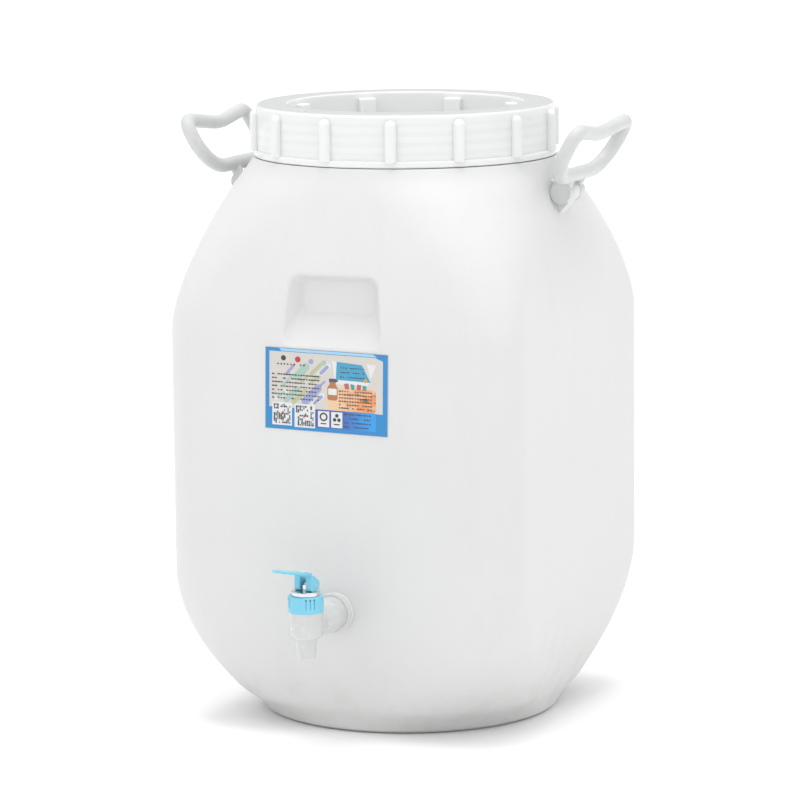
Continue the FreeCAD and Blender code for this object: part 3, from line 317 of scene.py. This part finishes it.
def soft_silicone(looks):
    """Milky silicone with a dull, slightly dusty skin."""
    s = Shader("soft_silicone", IOR=1.41, Subsurface_Weight=0.4,
               Subsurface_Radius=(0.003, 0.003, 0.003), Subsurface_Scale=0.4)
    cloud = s.noise(120, 3.0, 0.6)
    base = s.mix(cloud.ramp(0.35, 0.7), tinted(looks.silicone, 0.94), tinted(looks.silicone, 1.03))
    return s.feed(Base_Color=base, Roughness=cloud * 0.15 + 0.5,
                  Normal=s.bump(s.noise(2200, 2.0, 0.6), 0.2, 0.00005))


def bright_metal(looks):
    """Plated metal with fine turning lines and faint finger marks."""
    s = Shader("bright_metal", Metallic=1.0)
    smear = s.noise(160, 3.0, 0.6)
    lines = s.noise(5200, 1.0, 0.5, (1, 1, 0.05))
    base = s.mix(smear.ramp(0.35, 0.75), colour(looks.metal), tinted(looks.metal, 0.86))
    rough = smear.ramp(0.4, 0.8, 0.07, 0.20) + lines * 0.04
    return s.feed(Base_Color=base, Roughness=rough, Normal=s.bump(lines, 0.08, 0.00002))


def drawn_wire(looks):
    """Drawn spring wire with streaks along its turns."""
    s = Shader("drawn_wire", Metallic=1.0)
    streak = s.noise(2600, 3.0, 0.6, (1, 1, 4))
    base = s.mix(streak.ramp(0.3, 0.8), tinted(looks.metal, 0.75), tinted(looks.metal, 0.95))
    return s.feed(Base_Color=base, Roughness=streak * 0.15 + 0.25,
                  Normal=s.bump(streak, 0.15, 0.00002))


def ink(name, tone, gloss=0.30):
    """Printed ink on glossy film: nearly even, with a faint mottle from the press."""
    s = Shader(name, IOR=1.5, Coat_Weight=0.4, Coat_Roughness=0.12)
    mottle = s.noise(2400, 2.0, 0.6)
    band = s.noise(300, 2.0, 0.5, (0.2, 1, 1))
    base = s.mix(mottle.ramp(0.3, 0.7), tinted(tone, 0.70), tinted(tone, 0.78))
    return s.feed(Base_Color=base, Roughness=band * 0.10 + gloss, Normal=s.bump(mottle, 0.05, 0.00002))


def faded_ink(name, first, second, left, right):
    """Ink that runs from one tone to another across the label."""
    s = Shader(name, IOR=1.5, Coat_Weight=0.4, Coat_Roughness=0.12)
    mottle = s.noise(2400, 2.0, 0.6)
    across = (s.x + (mottle - 0.5) * 0.004).ramp(left, right)
    base = s.mix(across, first, second)
    return s.feed(Base_Color=base, Roughness=mottle * 0.08 + 0.30, Normal=s.bump(mottle, 0.05, 0.00002))


def picture_ink(name):
    """Soft swirls of peach, orange and leaf green, like a printed fruit picture."""
    s = Shader(name, IOR=1.5, Coat_Weight=0.4, Coat_Roughness=0.12)
    low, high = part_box("label")
    middle = (low[0] + high[0]) / 2
    swirl = s.noise(75, 3.0, 0.6, (1, 1, 1.6))
    across = s.x.ramp(middle + 0.004, middle + 0.040)
    base = s.mix(across * swirl.ramp(0.30, 0.60), (0.70, 0.47, 0.29), (0.70, 0.22, 0.06))
    base = s.mix(across * s.noise(110, 2.0, 0.5, (1, 1, 2)).ramp(0.55, 0.66), base, (0.12, 0.14, 0.05))
    return s.feed(Base_Color=base, Roughness=swirl * 0.08 + 0.30, Normal=s.bump(swirl, 0.05, 0.00002))


def wear(node, finish):
    """Give a CAD node one finish."""
    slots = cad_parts[node].data.materials
    slots.clear()
    slots.append(finish)


# ---------------------------------------------------------------- mesh helpers
def piece(name, mesh_or_bm, body, finish):
    """Put a finished mesh in the scene, riding on a body."""
    mesh = mesh_or_bm
    if isinstance(mesh_or_bm, bmesh.types.BMesh):
        mesh = bpy.data.meshes.new(name)
        mesh_or_bm.to_mesh(mesh)
        mesh_or_bm.free()
    made = bpy.data.objects.new(name, mesh)
    bpy.context.scene.collection.objects.link(made)
    mesh.materials.clear()
    mesh.materials.append(finish)
    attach(made, body)
    return made


def rectangle(left, right, top, low, cut=0.0):
    """Corners of a rectangle, with its corners cut off; across and down, in millimetres."""
    return [(left + cut, low), (right - cut, low), (right, low - cut), (right, top + cut),
            (right - cut, top), (left + cut, top), (left, top + cut), (left, low - cut)]


def round_bar(left, low, right, top, width):
    """A bar with round ends from one point to another."""
    slope = math.atan2(top - low, right - left)
    points = []
    for centre, first in (((left, low), slope + math.pi / 2), ((right, top), slope - math.pi / 2)):
        for step in range(9):
            angle = first + math.pi * step / 8
            points.append((centre[0] + width / 2 * math.cos(angle),
                           centre[1] + width / 2 * math.sin(angle)))
    return points


def disc(across, down, radius, sides=24):
    turns = [2 * math.pi * step / sides for step in range(sides)]
    return [(across + radius * math.cos(t), down + radius * math.sin(t)) for t in turns]


class Print:
    """Places printed shapes on the label; shapes are millimetres across and down from its corner."""

    def __init__(self, sizes):
        low, high = [Vector(corner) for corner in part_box("label")]
        self.sizes = sizes
        self.face = low.y
        self.centre = (low + high) / 2
        tilt = math.sin(sizes.tilt)
        wide, tall = high.x - low.x, high.z - low.z
        lean = math.cos(sizes.tilt)
        self.width = (wide * lean - tall * tilt) / (lean * lean - tilt * tilt)
        self.height = (tall * lean - wide * tilt) / (lean * lean - tilt * tilt)

    def turn(self):
        return Matrix.Rotation(self.sizes.tilt, 4, "Y")

    def place(self, across, down, proud):
        """A point of the label, so far in front of its film."""
        flat = Vector((across * MM - self.width / 2, 0, self.height / 2 - down * MM))
        point = self.turn() @ flat + self.centre
        return Vector((point.x, self.face - proud, point.z))

    def shapes(self, name, outlines, layer, finish):
        """Closed flat plates of one ink, all on the same layer."""
        bm = bmesh.new()
        for outline in outlines:
            back = [bm.verts.new(self.place(x, y, 0)) for x, y in outline]
            front = [bm.verts.new(self.place(x, y, layer * self.sizes.ink)) for x, y in outline]
            count = len(outline)
            bm.faces.new(front)
            bm.faces.new(list(reversed(back)))
            for index in range(count):
                after = (index + 1) % count
                bm.faces.new((back[index], back[after], front[after], front[index]))
        bmesh.ops.recalc_face_normals(bm, faces=bm.faces)
        return piece(name, bm, "bucket", finish)


# ---------------------------------------------------------------- geometry nodes
class Tree:
    """A geometry node tree being built, with named inputs."""

    def __init__(self, name):
        self.tree = bpy.data.node_groups.new(name, "GeometryNodeTree")
        self.tree.interface.new_socket("Geometry", in_out="OUTPUT", socket_type="NodeSocketGeometry")
        self.inputs = self.tree.nodes.new("NodeGroupInput")
        self.identifiers = {}

    def given(self, name, kind, default):
        """A named input of the tree."""
        socket = self.tree.interface.new_socket(name, in_out="INPUT", socket_type="NodeSocket" + kind)
        socket.default_value = default
        self.identifiers[name] = socket.identifier
        return next(out for out in self.inputs.outputs if out.identifier == socket.identifier)

    def node(self, kind, settings=None, values=None):
        made = self.tree.nodes.new(kind)
        for key, setting in (settings or {}).items():
            setattr(made, key, setting)
        for key, given in (values or {}).items():
            if isinstance(given, bpy.types.NodeSocket):
                self.tree.links.new(given, made.inputs[key])
            else:
                made.inputs[key].default_value = given
        return made

    def finish(self, geometry, material):
        """Realize the instances, set the material and close the tree."""
        real = self.node("GeometryNodeRealizeInstances", None, {"Geometry": geometry})
        dressed = self.node("GeometryNodeSetMaterial", None,
                            {"Geometry": real.outputs["Geometry"], "Material": material})
        out = self.tree.nodes.new("NodeGroupOutput")
        self.tree.links.new(dressed.outputs["Geometry"], out.inputs["Geometry"])
        return self

    def bake(self, name, values):
        """Evaluate the tree once and return a plain mesh."""
        holder = bpy.data.objects.new(name + "_maker", bpy.data.meshes.new(name + "_maker"))
        bpy.context.scene.collection.objects.link(holder)
        modifier = holder.modifiers.new("make", "NODES")
        modifier.node_group = self.tree
        for key, given in values.items():
            modifier[self.identifiers[key]] = given
        bpy.context.view_layer.update()
        evaluated = holder.evaluated_get(bpy.context.evaluated_depsgraph_get())
        mesh = bpy.data.meshes.new_from_object(evaluated)
        holder.modifiers.remove(modifier)
        bpy.data.objects.remove(holder)
        mesh.name = name
        return mesh


def broken_rows_tree(material):
    """A grid of small plates of uneven length, laid on the label's plane."""
    tree = Tree("broken_rows")
    columns = tree.given("Columns", "Int", 12)
    rows = tree.given("Rows", "Int", 7)
    width = tree.given("Width", "Float", 0.04)
    height = tree.given("Height", "Float", 0.02)
    plate = tree.given("Plate", "Vector", (0.002, 0.001, 0.0001))
    shortest = tree.given("Shortest", "Float", 0.5)
    missing = tree.given("Missing", "Float", 0.15)
    place = tree.given("Place", "Vector", (0, 0, 0))
    turn = tree.given("Turn", "Vector", (0, 0, 0))
    seed = tree.given("Seed", "Int", 1)
    grid = tree.node("GeometryNodeMeshGrid", None, {"Size X": width, "Size Y": height,
                                                    "Vertices X": columns, "Vertices Y": rows})
    drop = tree.node("FunctionNodeRandomValue", {"data_type": "BOOLEAN"},
                     {"Probability": missing, "Seed": seed})
    kept = tree.node("GeometryNodeDeleteGeometry", {"domain": "POINT"},
                     {"Geometry": grid.outputs["Mesh"], "Selection": drop.outputs[3]})
    points = tree.node("GeometryNodeMeshToPoints", None, {"Mesh": kept.outputs["Geometry"]})
    cube = tree.node("GeometryNodeMeshCube", None, {"Size": plate})
    length = tree.node("FunctionNodeRandomValue", {"data_type": "FLOAT"}, {"Seed": seed})
    tree.tree.links.new(shortest, length.inputs[2])
    length.inputs[3].default_value = 1.0
    size = tree.node("ShaderNodeCombineXYZ", None, {"X": length.outputs[1], "Y": 1.0, "Z": 1.0})
    plates = tree.node("GeometryNodeInstanceOnPoints", None, {
        "Points": points.outputs["Points"], "Instance": cube.outputs["Mesh"],
        "Scale": size.outputs["Vector"]})
    laid = tree.node("GeometryNodeTransform", None, {
        "Geometry": plates.outputs["Instances"], "Translation": place, "Rotation": turn})
    return tree.finish(laid.outputs["Geometry"], material)


def collar_notch_shadows_tree(material):
    """Small flattened beads in groups of three round an upright axis, which carry painted shade at the
    heads of the collar's grooves.
    """
    tree = Tree("collar_notch_shadows")
    groups = tree.given("Groups", "Int", 6)
    step = tree.given("Step", "Float", 0.157)
    first = tree.given("First", "Float", 0.17)
    radius = tree.given("Radius", "Float", 0.015)
    bead = tree.given("Bead", "Float", 0.0007)
    place = tree.given("Place", "Vector", (0, 0, 0))
    count = tree.node("ShaderNodeMath", {"operation": "MULTIPLY"}, {0: groups, 1: 3.0})
    spots = tree.node("GeometryNodePoints", None, {"Count": count.outputs[0]})
    index = tree.node("GeometryNodeInputIndex").outputs[0]

    def maths(operation, one, two=0.0, three=0.0):
        return tree.node("ShaderNodeMath", {"operation": operation}, {0: one, 1: two, 2: three}).outputs[0]
    group = maths("FLOOR", maths("DIVIDE", index, 3.0))
    inside = maths("SUBTRACT", maths("MODULO", index, 3.0), 1.0)
    share = maths("DIVIDE", 2 * math.pi, groups)
    angle = maths("ADD", maths("MULTIPLY", group, share), maths("MULTIPLY_ADD", inside, step, first))
    around = tree.node("ShaderNodeCombineXYZ", None, {
        "X": maths("MULTIPLY", maths("COSINE", angle), radius),
        "Y": maths("MULTIPLY", maths("SINE", angle), radius)})
    moved = tree.node("GeometryNodeSetPosition", None, {
        "Geometry": spots.outputs[0], "Position": around.outputs["Vector"]})
    ball = tree.node("GeometryNodeMeshUVSphere", None, {"Segments": 14, "Rings": 8, "Radius": bead})
    facing = tree.node("ShaderNodeCombineXYZ", None, {"X": 0.0, "Y": 0.0, "Z": angle})
    beads = tree.node("GeometryNodeInstanceOnPoints", None, {
        "Points": moved.outputs["Geometry"], "Instance": ball.outputs["Mesh"],
        "Rotation": facing.outputs["Vector"], "Scale": (0.30, 1.0, 1.15)})
    laid = tree.node("GeometryNodeTransform", None, {
        "Geometry": beads.outputs["Instances"], "Translation": place})
    return tree.finish(laid.outputs["Geometry"], material)


# ---------------------------------------------------------------- operators
class BUCKET_OT_shell(bpy.types.Operator):
    """Finish the blown shell of the bucket"""
    bl_idname = "bucket.shell"
    bl_label = "Bucket shell"

    def execute(self, context):
        wear("bucket_body", blown_plastic(context.scene.bucket_looks))
        return {"FINISHED"}


class BUCKET_OT_cap(bpy.types.Operator):
    """Finish the screw cap, its gasket and the inner lid"""
    bl_idname = "bucket.cap"
    bl_label = "Cap and lid"

    def execute(self, context):
        looks = context.scene.bucket_looks
        wear("screw_cap", cap_plastic(looks))
        wear("inner_lid", moulded("lid_plastic", looks.cap, 0.30, 0.15))
        wear("cap_gasket", soft_silicone(looks))
        return {"FINISHED"}


class BUCKET_OT_handles(bpy.types.Operator):
    """Finish the two carry handles"""
    bl_idname = "bucket.handles"
    bl_label = "Handles"

    def execute(self, context):
        finish = moulded("handle_plastic", context.scene.bucket_looks.handle, 0.30, 0.2)
        wear("handle_left", finish)
        wear("handle_right", finish)
        return {"FINISHED"}


class BUCKET_OT_tap(bpy.types.Operator):
    """Finish the tap's pieces, and add beads of painted shade at the collar's grooves"""
    bl_idname = "bucket.tap"
    bl_label = "Tap"

    def execute(self, context):
        looks = context.scene.bucket_looks
        milky = moulded("tap_plastic", looks.tap, 0.20, 0.10, 0.5)
        blue = moulded("blue_plastic", looks.blue, 0.16, 0.08, 0.0)
        for node in ("tap_body", "tap_lock_nut", "stem_guide", "spring_washer"):
            wear(node, milky)
        for node in ("tap_collar", "tap_lever"):
            wear(node, blue)
        silicone = soft_silicone(looks)
        for node in ("tap_outer_washer", "tap_inner_washer", "guide_seal", "stem_o_ring", "valve_plug"):
            wear(node, silicone)
        metal = bright_metal(looks)
        for node in ("lever_seat", "valve_stem", "lever_pin"):
            wear(node, metal)
        wear("valve_spring", drawn_wire(looks))
        sizes = context.scene.bucket_tap
        low, high = [Vector(corner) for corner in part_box("tap_collar")]
        centre = (low + high) / 2
        # Painted shade: dark beads stand for the shadow at the head of each of the collar's grooves.
        dark = moulded("notch_shadow", tinted(looks.blue, 0.12), 0.45, 0.1, 0.0)
        mesh = collar_notch_shadows_tree(dark).bake("collar_notch_shadows", {
            "Groups": sizes.groups, "Step": sizes.groove_step, "First": sizes.group_turn,
            "Radius": (high.x - low.x) / 2 - sizes.notch_depth, "Bead": sizes.notch_radius,
            "Place": (centre.x, centre.y, low.z + sizes.notch_height)})
        piece("collar_notch_shadows", mesh, "bucket", dark)
        return {"FINISHED"}


class BUCKET_OT_label(bpy.types.Operator):
    """Print the generic label"""
    bl_idname = "bucket.label"
    bl_label = "Label"

    def execute(self, context):
        sizes = context.scene.bucket_label
        page = Print(sizes)
        wear("label", ink("label_panel", sizes.panel))
        white = ink("label_white", (0.86, 0.87, 0.87))
        dark = ink("label_dark", (0.030, 0.032, 0.040))
        self.frame(page, sizes)
        self.bars(page, white)
        self.picture(page, white)
        self.marks(page, white, dark)
        self.rows(page, sizes, dark)
        return {"FINISHED"}

    def frame(self, page, sizes):
        """Blue border with its broad lower band, and the pale strip along its top."""
        wide, tall = page.width / MM, page.height / MM
        edge, band = sizes.border / MM, sizes.band / MM
        inner = wide - edge - 0.8
        border = [rectangle(0.4, wide - 0.4, 0.4, 3.5), rectangle(0.4, wide - 0.4, tall - band, tall - 0.4),
                  rectangle(0.4, edge, 3.5, tall - band), rectangle(inner, wide - 0.4, 3.5, tall - band),
                  [(wide - 12, 3.5), (inner, 6.2), (inner, 3.5)]]
        page.shapes("label_border", border, 1, ink("label_blue", sizes.blue))
        strip = [[(15, 3.0), (13, 0.8), (wide - 14, 0.8), (wide - 10, 3.0)]]
        page.shapes("label_strip", strip, 2, ink("label_pale_blue", (0.42, 0.72, 0.93)))
        navy = [rectangle(46.5, 102, 50.6, 66.0)]
        page.shapes("label_block", navy, 2, faded_ink(
            "label_navy", (0.035, 0.075, 0.33), (0.012, 0.27, 0.66),
            page.place(62, 0, 0).x, page.place(101, 0, 0).x))

    def bars(self, page, white):
        """Pastel round-ended bars that climb across the left panel."""
        lilac = [round_bar(20.0, 22.0, 25.6, 15.6, 2.6), round_bar(51.6, 19.6, 57.2, 14.2, 3.2),
                 round_bar(37.0, 44.5, 49.0, 32.5, 6.6), round_bar(45.8, 45.5, 52.0, 39.8, 2.8),
                 disc(42.4, 10.4, 2.2), round_bar(51.4, 30.0, 55.0, 26.6, 1.8)]
        mint = [round_bar(29.5, 24.0, 37.5, 15.4, 6.6), round_bar(11.8, 42.2, 17.6, 38.4, 2.6),
                round_bar(19.5, 44.5, 30.0, 34.5, 4.6), disc(54.3, 10.8, 2.2),
                round_bar(16.0, 33.0, 24.0, 25.0, 2.4)]
        olive = [round_bar(42.8, 20.6, 51.4, 12.4, 3.0), round_bar(43.0, 27.0, 50.0, 23.0, 3.0),
                 round_bar(26.5, 45.5, 37.0, 36.0, 4.0), round_bar(33.5, 28.5, 38.5, 24.0, 2.2)]
        rims = [round_bar(44.6, 46.6, 53.2, 38.6, 4.2), round_bar(50.6, 20.6, 58.2, 13.2, 4.4),
                round_bar(10.8, 43.0, 18.6, 37.6, 3.8)]
        page.shapes("label_bar_rims", rims, 1, white)
        page.shapes("label_bars_lilac", lilac, 2, ink("label_lilac", (0.36, 0.40, 0.70)))
        page.shapes("label_bars_mint", mint, 3, ink("label_mint", (0.42, 0.63, 0.53)))
        page.shapes("label_bars_olive", olive, 4, ink("label_olive", (0.54, 0.58, 0.34)))

    def picture(self, page, white):
        """Banner, picture block, small flags and a plain storage jar."""
        page.shapes("label_banner_rim", [[(61.5, 8.0), (68.0, 9.5), (67.0, 26.0), (64.5, 26.0)],
                                         [(66.0, 28.0), (65.5, 24.5), (97.0, 24.5), (93.0, 28.4)],
                                         [(93.5, 9.4), (102.0, 10.0), (97.0, 22.0)]], 1, white)
        page.shapes("label_banner", [[(66.0, 9.0), (89.0, 10.5), (97.0, 24.8), (65.2, 24.2)]], 2,
                    ink("label_turquoise", (0.05, 0.38, 0.62)))
        page.shapes("label_picture", [rectangle(57.4, 101.8, 31.0, 50.4, 1.8)], 2,
                    picture_ink("label_picture"))
        page.shapes("label_flags", [[(72.6, 27.2), (77.0, 26.6), (77.4, 31.6), (74.0, 31.8)],
                                    [(84.6, 27.0), (88.6, 27.4), (87.8, 31.6), (84.4, 31.4)]], 3,
                    ink("label_red", (0.58, 0.12, 0.10)))
        page.shapes("label_leaves", [[(78.6, 27.0), (82.4, 27.6), (82.0, 32.2), (79.4, 31.6)],
                                     [(89.6, 27.6), (93.4, 28.0), (93.0, 31.8), (90.2, 31.4)]], 3,
                    ink("label_teal", (0.06, 0.34, 0.34)))
        page.shapes("label_spark", [disc(92.2, 23.6, 1.7, 10)], 4, ink("label_yellow", (0.75, 0.36, 0.04)))
        jar = [(57.6, 40.5), (57.6, 31.5), (59.6, 28.2), (59.6, 26.6), (65.0, 26.6), (65.0, 28.2),
               (67.0, 31.5), (67.0, 40.5), (65.6, 42.0), (59.0, 42.0)]
        page.shapes("label_jar", [jar], 3, ink("label_amber", (0.52, 0.20, 0.06)))
        page.shapes("label_jar_lid", [rectangle(59.0, 65.6, 23.6, 26.6, 0.5)], 4,
                    ink("label_slate", (0.06, 0.09, 0.16)))
        page.shapes("label_jar_band", [rectangle(58.4, 66.2, 32.0, 37.4, 0.4)], 4, white)

    def marks(self, page, white, dark):
        """White tiles with plain patterns, and two plain dots at the top."""
        tiles = [rectangle(6.8, 25.0, 46.6, 66.2), rectangle(27.4, 46.4, 47.0, 67.0),
                 rectangle(49.0, 59.4, 51.8, 65.2), rectangle(61.2, 71.4, 51.8, 65.2)]
        page.shapes("label_tiles", tiles, 3, white)
        page.shapes("label_ring", [disc(54.2, 56.6, 3.7)], 4, dark)
        page.shapes("label_ring_heart", [disc(54.2, 56.6, 2.3)], 5, white)
        page.shapes("label_three_dots", [
            disc(66.3, 54.8, 1.6), disc(64.3, 58.4, 1.6), disc(68.3, 58.4, 1.6),
            rectangle(63.6, 69.0, 61.8, 62.8), rectangle(51.6, 56.8, 61.8, 62.8)],
                    4, dark)
        page.shapes("label_dot_navy", [disc(17.0, 8.9, 2.3)], 2, dark)
        page.shapes("label_dot_red", [disc(30.2, 9.4, 2.5), disc(15.8, 56.4, 1.0), disc(36.9, 57.0, 1.0)],
                    6, ink("label_crimson", (0.55, 0.03, 0.05)))

    def rows(self, page, sizes, dark):
        """Broken rows that stand for small print, and the plain dots of two tiles."""
        tree = broken_rows_tree(dark)
        facing = (page.turn() @ Matrix.Rotation(math.pi / 2, 4, "X")).to_euler()
        blocks = {
            "label_rows_left": (7.5, 22.8, 49.0, 43.0, 17, 7, 2.6, 1.05, 0.18, 4.5),
            "label_rows_head": (12.0, 14.0, 36.0, 14.2, 9, 2, 1.7, 1.1, 0.2, 4.5),
            "label_rows_banner": (70.0, 13.8, 90.5, 21.6, 10, 3, 1.9, 0.9, 0.15, 3.5),
            "label_rows_picture": (69.0, 33.6, 97.5, 47.8, 13, 6, 2.2, 1.1, 0.12, 3.5),
            "label_rows_band": (74.0, 53.0, 96.5, 63.6, 11, 4, 2.0, 1.1, 0.25, 3.5),
            "label_tile_dots_a": (8.8, 48.8, 23.0, 64.0, 10, 11, 1.55, 1.40, 0.38, 4.5),
            "label_tile_dots_b": (29.4, 49.2, 44.4, 64.8, 10, 11, 1.60, 1.45, 0.38, 4.5),
        }
        for number, (name, given) in enumerate(blocks.items()):
            left, top, right, low, columns, rows, long, high, missing, layer = given
            mesh = tree.bake(name, {
                "Columns": columns, "Rows": rows, "Width": (right - left) * MM, "Height": (low - top) * MM,
                "Plate": (long * MM, high * MM, sizes.ink), "Shortest": 0.45, "Missing": missing,
                "Place": page.place((left + right) / 2, (top + low) / 2, layer * sizes.ink),
                "Turn": facing, "Seed": sizes.seed + number})
            piece(name, mesh, "bucket", dark)


class BUCKET_OT_stage(bpy.types.Operator):
    """Set up the pale floor, the soft lights and the camera"""
    bl_idname = "bucket.stage"
    bl_label = "Studio"

    def execute(self, context):
        studio = context.scene.bucket_studio
        build_floor(studio)
        build_lights(studio)
        build_camera(studio)
        return {"FINISHED"}


def build_floor(studio):
    """A wide, flat, pale floor."""
    bm = bmesh.new()
    bmesh.ops.create_grid(bm, x_segments=1, y_segments=1, size=40.0)
    mesh = bpy.data.meshes.new("floor")
    bm.to_mesh(mesh)
    bm.free()
    floor = bpy.data.objects.new("floor", mesh)
    bpy.context.scene.collection.objects.link(floor)
    s = Shader("floor_paper", Roughness=0.9)
    s.bsdf.inputs["Base Color"].default_value = colour((studio.floor,) * 3)
    s.bsdf.inputs["Specular IOR Level"].default_value = 0.0
    mesh.materials.append(s.material)


def soft_sun(name, direction, strength, spread):
    """A distant lamp that shines along a direction, with soft shadows."""
    data = bpy.data.lights.new(name, "SUN")
    data.energy = strength
    data.angle = spread
    lamp = bpy.data.objects.new(name, data)
    lamp.rotation_euler = Vector(direction).to_track_quat("-Z", "Y").to_euler()
    bpy.context.scene.collection.objects.link(lamp)


def area_light(name, place, target, size, power):
    data = bpy.data.lights.new(name, "AREA")
    data.shape = "RECTANGLE"
    data.size, data.size_y = size
    data.energy = power
    light = bpy.data.objects.new(name, data)
    light.location = place
    aim = Vector(target) - Vector(place)
    light.rotation_euler = aim.to_track_quat("-Z", "Y").to_euler()
    bpy.context.scene.collection.objects.link(light)


def build_lights(studio):
    """A room brightest overhead, with a white backdrop, a broad lamp above and two soft boxes in front."""
    soft_sun("overhead", (0.0, 0.04, -1.0), studio.sun, studio.spread)
    area_light("key_left", (-1.6, -3.2, 1.9), (0, 0, 0.30), (1.6, 2.0), studio.key)
    area_light("fill_right", (3.0, -1.4, 1.5), (0, 0, 0.25), (1.4, 2.0), studio.fill)
    world = bpy.data.worlds.new("studio")
    world.use_nodes = True
    tree = world.node_tree
    place = tree.nodes.new("ShaderNodeTexCoord")
    split = tree.nodes.new("ShaderNodeSeparateXYZ")
    tree.links.new(place.outputs["Generated"], split.inputs["Vector"])

    def ramp(height, low, high, out_low, out_high):
        made = tree.nodes.new("ShaderNodeMapRange")
        made.clamp = True
        limits = {"From Min": low, "From Max": high, "To Min": out_low, "To Max": out_high}
        for key, number in limits.items():
            made.inputs[key].default_value = number
        tree.links.new(height, made.inputs["Value"])
        return made.outputs["Result"]

    def maths(operation, one, two=None):
        made = tree.nodes.new("ShaderNodeMath")
        made.operation = operation
        tree.links.new(one, made.inputs[0])
        if two is not None:
            tree.links.new(two, made.inputs[1])
        return made.outputs[0]

    height = split.outputs["Z"]
    dome = ramp(height, 0.0, 1.0, studio.horizon, studio.zenith)
    backdrop = ramp(maths("ABSOLUTE", height), 0.10, 0.15, studio.backdrop, 0.0)
    background = tree.nodes["Background"]
    background.inputs["Color"].default_value = (1, 1, 1, 1)
    tree.links.new(maths("MAXIMUM", dome, backdrop), background.inputs["Strength"])
    bpy.context.scene.world = world
    bpy.context.scene.view_settings.view_transform = "Standard"


def build_camera(studio):
    data = bpy.data.cameras.new("camera")
    data.lens = studio.lens
    data.sensor_width = 36
    data.clip_end = 30
    camera = bpy.data.objects.new("camera", data)
    turn = (Matrix.Rotation(studio.turn + studio.aim, 4, "Z")
            @ Matrix.Rotation(math.pi / 2 - studio.dip, 4, "X")
            @ Matrix.Rotation(-studio.roll, 4, "Z"))
    place = Vector((studio.distance * math.sin(studio.turn),
                    -studio.distance * math.cos(studio.turn), studio.height))
    camera.matrix_world = Matrix.Translation(place) @ turn
    bpy.context.scene.collection.objects.link(camera)
    bpy.context.scene.camera = camera


class BUCKET_PT_panel(bpy.types.Panel):
    """Buttons for each group of pieces"""
    bl_idname = "BUCKET_PT_panel"
    bl_label = "Fermenting bucket"
    bl_space_type = "VIEW_3D"
    bl_region_type = "UI"
    bl_category = "Bucket"

    def draw(self, context):
        for operator in OPERATORS:
            self.layout.operator(operator.bl_idname)


OPERATORS = (BUCKET_OT_shell, BUCKET_OT_cap, BUCKET_OT_handles, BUCKET_OT_tap, BUCKET_OT_label,
             BUCKET_OT_stage)
GROUPS = {"bucket_looks": BucketLooks, "bucket_label": LabelSizes, "bucket_tap": TapSizes,
          "bucket_studio": StudioSettings}


def register():
    for group in GROUPS.values():
        bpy.utils.register_class(group)
    for name, group in GROUPS.items():
        setattr(bpy.types.Scene, name, PointerProperty(type=group))
    for operator in OPERATORS:
        bpy.utils.register_class(operator)
    bpy.utils.register_class(BUCKET_PT_panel)


def unregister():
    bpy.utils.unregister_class(BUCKET_PT_panel)
    for operator in reversed(OPERATORS):
        bpy.utils.unregister_class(operator)
    for name, group in GROUPS.items():
        delattr(bpy.types.Scene, name)
        bpy.utils.unregister_class(group)


def main():
    register()
    bpy.ops.bucket.shell()
    bpy.ops.bucket.cap()
    bpy.ops.bucket.handles()
    bpy.ops.bucket.tap()
    bpy.ops.bucket.label()
    bpy.ops.bucket.stage()


if __name__ == "__main__":
    main()
